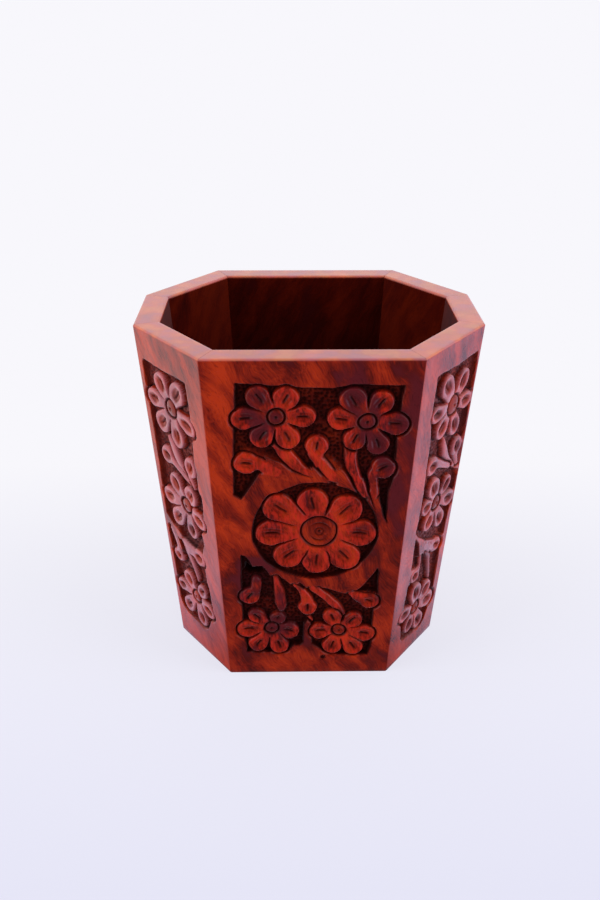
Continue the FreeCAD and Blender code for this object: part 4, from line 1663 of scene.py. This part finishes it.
@dataclass
class Studio:
    """A pale paper floor, two side soft boxes in a white room, and the viewing point.

    Lengths are metres and angles degrees. A pair of numbers is where a change starts and ends:
    y for near, distance from the stand for far and shadow_reach, x for cool, and the wedge's
    own measure for the two flags.
    """

    paper_near: str = "#dfdff3"
    paper_far: str = "#f8f7fc"
    bounce: str = "#dcdbe6"
    gloss_warm: str = "#f6eeee"
    gloss_cool: str = "#e2daff"
    floor_size: float = 40.0
    near: tuple[float, float] = (-0.16, 0.1)
    far: tuple[float, float] = (0.25, 0.55)
    cool: tuple[float, float] = (-0.16, -0.04)
    shadow_reach: tuple[float, float] = (0.08, 0.26)
    shadow_share: float = 0.2
    shadow_balance: float = 0.62
    floor_flag: tuple[float, float] = (-0.02, 0.06)
    room_flag: tuple[float, float] = (-0.2, 0.5)
    flag_slant: float = 1.1
    flag_low: float = 0.04
    flag_high: float = 1.0
    room_strength: float = 0.42
    ceiling_strength: float = 1.2
    box_power: float = 5.1
    box_size: float = 0.5
    box_reach: float = 0.62
    box_azimuth: float = 72.0
    box_height: float = 0.34
    box_aim: float = 0.05
    focal: float = 36.0
    pitch: float = 27.46
    distance: float = 0.27404
    sight_across: float = -0.002226
    sight_up: float = 0.059087
    yaw: float = 1.037
    roll: float = 0.218

    def build(self) -> None:
        """Lay the floor, hang the light and set up the camera."""
        self.lay_floor()
        self.fill_room()
        for side in (-1, 1):
            self.hang_box(side)
        self.camera()

    def lay_floor(self) -> None:
        """Lay the paper, matt and uncoated.

        The eye gets a nearly white ground that keeps the shadow, bluer towards the front. Gloss
        on the lacquer finds it dark in front of the stand, as under a black flag.
        """
        half = self.floor_size / 2
        points = np.array([(-half, -half, 0), (half, -half, 0), (half, half, 0), (-half, half, 0)]) / MM
        floor = mesh_object("paper_floor", points, [[0, 1, 2, 3]])
        paper = bpy.data.materials.new("paper_matt_white")
        node = partial(add_node, empty_tree(paper))
        path, spot = node("LightPath"), node("NewGeometry")
        axes = node("SeparateXYZ", {}, {0: spot})
        nearness = node("MapRange", {"From Min": self.near[0], "From Max": self.near[1]},
                        {"Value": axes.outputs["Y"]})
        away = node("VectorMath", {"operation": "LENGTH"}, {0: spot}).outputs["Value"]
        fading = node("MapRange", {"From Min": self.far[0], "From Max": self.far[1]}, {"Value": away})
        pale = node("Math", {"operation": "MAXIMUM"}, {0: nearness, 1: fading})
        shown = node("Mix", {"data_type": "RGBA", 6: linear(self.paper_near),
                             7: linear(self.paper_far)}, {0: pale}).outputs[2]
        share = node("MapRange", {"From Min": self.shadow_reach[0], "From Max": self.shadow_reach[1],
                                  "To Min": self.shadow_share, "To Max": 0.0}, {"Value": away})
        glow = node("Emission", {"Strength": 1.0}, {"Color": shown})
        dimmed = node("VectorMath", {"operation": "SCALE", "Scale": self.shadow_balance}, {0: shown})
        shaded = node("BsdfDiffuse", {}, {"Color": dimmed})
        seen = node("MixShader", {}, {0: share, 1: glow, 2: shaded})
        soft = node("BsdfDiffuse", {"Color": linear(self.bounce)})
        gloss = self.flag(node, axes, *self.floor_flag)
        coolness = node("MapRange", {"From Min": self.cool[0], "From Max": self.cool[1]},
                        {"Value": axes.outputs["X"]})
        tint = node("Mix", {"data_type": "RGBA", 6: linear(self.gloss_warm),
                            7: linear(self.gloss_cool)}, {0: coolness}).outputs[2]
        mirrored = node("Emission", {}, {"Color": tint, "Strength": gloss})
        bounced = node("MixShader", {}, {0: path.outputs["Is Glossy Ray"], 1: soft, 2: mirrored})
        both = node("MixShader", {}, {0: path.outputs["Is Camera Ray"], 1: bounced, 2: seen})
        node("OutputMaterial", {}, {"Surface": both})
        floor.data.materials.append(paper)

    def fill_room(self) -> None:
        """Light the room evenly and stand a dark flag behind the viewing point for gloss."""
        world = bpy.data.worlds.new("white_room")
        bpy.context.scene.world = world
        node = partial(add_node, empty_tree(world))
        path = node("LightPath")
        axes = node("SeparateXYZ", {}, {0: node("TexCoord")})
        flag = self.flag(node, axes, *self.room_flag)
        gloss = node("Background", {"Color": linear(self.paper_far)}, {"Strength": flag})
        above = node("MapRange", {"interpolation_type": "SMOOTHSTEP", "From Min": 0.2, "From Max": 0.9,
                                  "To Min": self.room_strength, "To Max": self.ceiling_strength},
                     {"Value": axes.outputs["Z"]})
        lit = node("Background", {"Color": (1.0, 1.0, 1.0, 1.0)}, {"Strength": above})
        seen = node("Background", {"Color": linear(self.paper_far), "Strength": 1.0})
        unseen = node("MixShader", {}, {0: path.outputs["Is Glossy Ray"], 1: lit, 2: gloss})
        both = node("MixShader", {}, {0: path.outputs["Is Camera Ray"], 1: unseen, 2: seen})
        node("OutputWorld", {}, {"Surface": both})

    def flag(self, node: Callable, axes: bpy.types.Node, low: float, high: float) -> bpy.types.Node:
        """Strength of the light in gloss: dark in a wedge in front, full at the sides and behind.

        Args:
            node: Function that adds a node to the tree.
            axes: Node with the separate axes of a place or a direction.
            low: Edge of the dark wedge.
            high: Where the light is full.

        Returns:
            The node with the strength.
        """
        sideways = node("Math", {"operation": "ABSOLUTE"}, {0: axes.outputs["X"]})
        wedge = node("Math", {"operation": "MULTIPLY_ADD", 1: self.flag_slant},
                     {0: axes.outputs["Y"], 2: sideways})
        return node("MapRange", {"interpolation_type": "SMOOTHSTEP", "From Min": low, "From Max": high,
                                 "To Min": self.flag_low, "To Max": self.flag_high}, {"Value": wedge})

    def hang_box(self, side: int) -> None:
        """Hang one soft box beside the stand, turned towards it.

        Args:
            side: -1 for the left and 1 for the right.
        """
        name = "soft_box_left" if side < 0 else "soft_box_right"
        lamp = bpy.data.lights.new(name, "AREA")
        lamp.shape = "RECTANGLE"
        lamp.size = lamp.size_y = self.box_size
        lamp.energy = self.box_power
        holder = bpy.data.objects.new(name, lamp)
        holder.visible_glossy = False
        bpy.context.scene.collection.objects.link(holder)
        turn = math.radians(self.box_azimuth)
        holder.location = (side * self.box_reach * math.sin(turn), -self.box_reach * math.cos(turn),
                           self.box_height)
        aim = Vector((0.0, 0.0, self.box_aim)) - holder.location
        holder.rotation_euler = aim.to_track_quat("-Z", "Y").to_euler()

    def camera(self) -> None:
        """Stand the camera in front of the stand, looking down at it."""
        data = bpy.data.cameras.new("viewing_point")
        data.lens = self.focal
        data.clip_start, data.clip_end = 0.01, 20.0
        camera = bpy.data.objects.new("viewing_point", data)
        bpy.context.scene.collection.objects.link(camera)
        pitch = math.radians(self.pitch)
        stand_off = Vector((self.sight_across, -self.distance * math.cos(pitch),
                            self.sight_up + self.distance * math.sin(pitch)))
        turn = Matrix.Rotation(-math.radians(self.yaw), 4, "Z")
        tilt = Matrix.Rotation(math.pi / 2 - pitch, 4, "X")
        level = Matrix.Rotation(math.radians(self.roll), 4, "Z")
        camera.matrix_world = turn @ Matrix.Translation(stand_off) @ tilt @ level
        bpy.context.scene.camera = camera


def main() -> None:
    """Build the stand piece by piece, then the studio around it."""
    logging.basicConfig(level=logging.INFO, format="%(name)s %(message)s")
    bpy.context.scene.view_settings.view_transform = "Standard"
    plan = StandPlan()
    wood = Sheesham().material()
    front, left, right = front_carving(), left_carving(), right_carving()
    narrow = left.moved(shift=2.6, stretch=0.88)
    carvings = {
        Place.FRONT: front, Place.BACK: front.moved(mirror=True),
        Place.FRONT_LEFT: left, Place.BACK_RIGHT: left,
        Place.FRONT_RIGHT: right, Place.BACK_LEFT: right,
        Place.LEFT: narrow, Place.RIGHT: narrow.moved(mirror=True)}
    # The dressings differ partly as painted light and shade: the front and back get a darker ground, a
    # cooler tone and no painted sheen, and the front diagonals get the most painted sheen.
    wide = Dressing(warmth=0.45, gouged=1.0, bloom=0.0, bowl_stain_and_shade=0.24, eye_stain=0.04,
                    floor_stain_and_shade=0.96, wall_stain_and_shade=0.99)
    dressings = {
        Place.FRONT: wide, Place.BACK: wide,
        Place.FRONT_LEFT: Dressing(bloom=0.36, ground_painted_sheen=0.02, bowl_stain_and_shade=0.37, eye_stain=0.06),
        Place.FRONT_RIGHT: Dressing(warmth=0.8, bloom=0.24, ground_painted_sheen=0.04, bowl_stain_and_shade=0.56,
                                    eye_stain=0.45)}
    for place, carving in carvings.items():
        Stave(plan, place, carving, wood, brad_hole=place in (Place.FRONT, Place.BACK),
              dressing=dressings.get(place, Dressing()),
              figure=front_figure() if place is Place.FRONT else ()).build()
    BaseBoard(plan, wood).build()
    Brads(plan, WireSteel().material()).build()
    Studio().build()


if __name__ == "__main__":
    main()
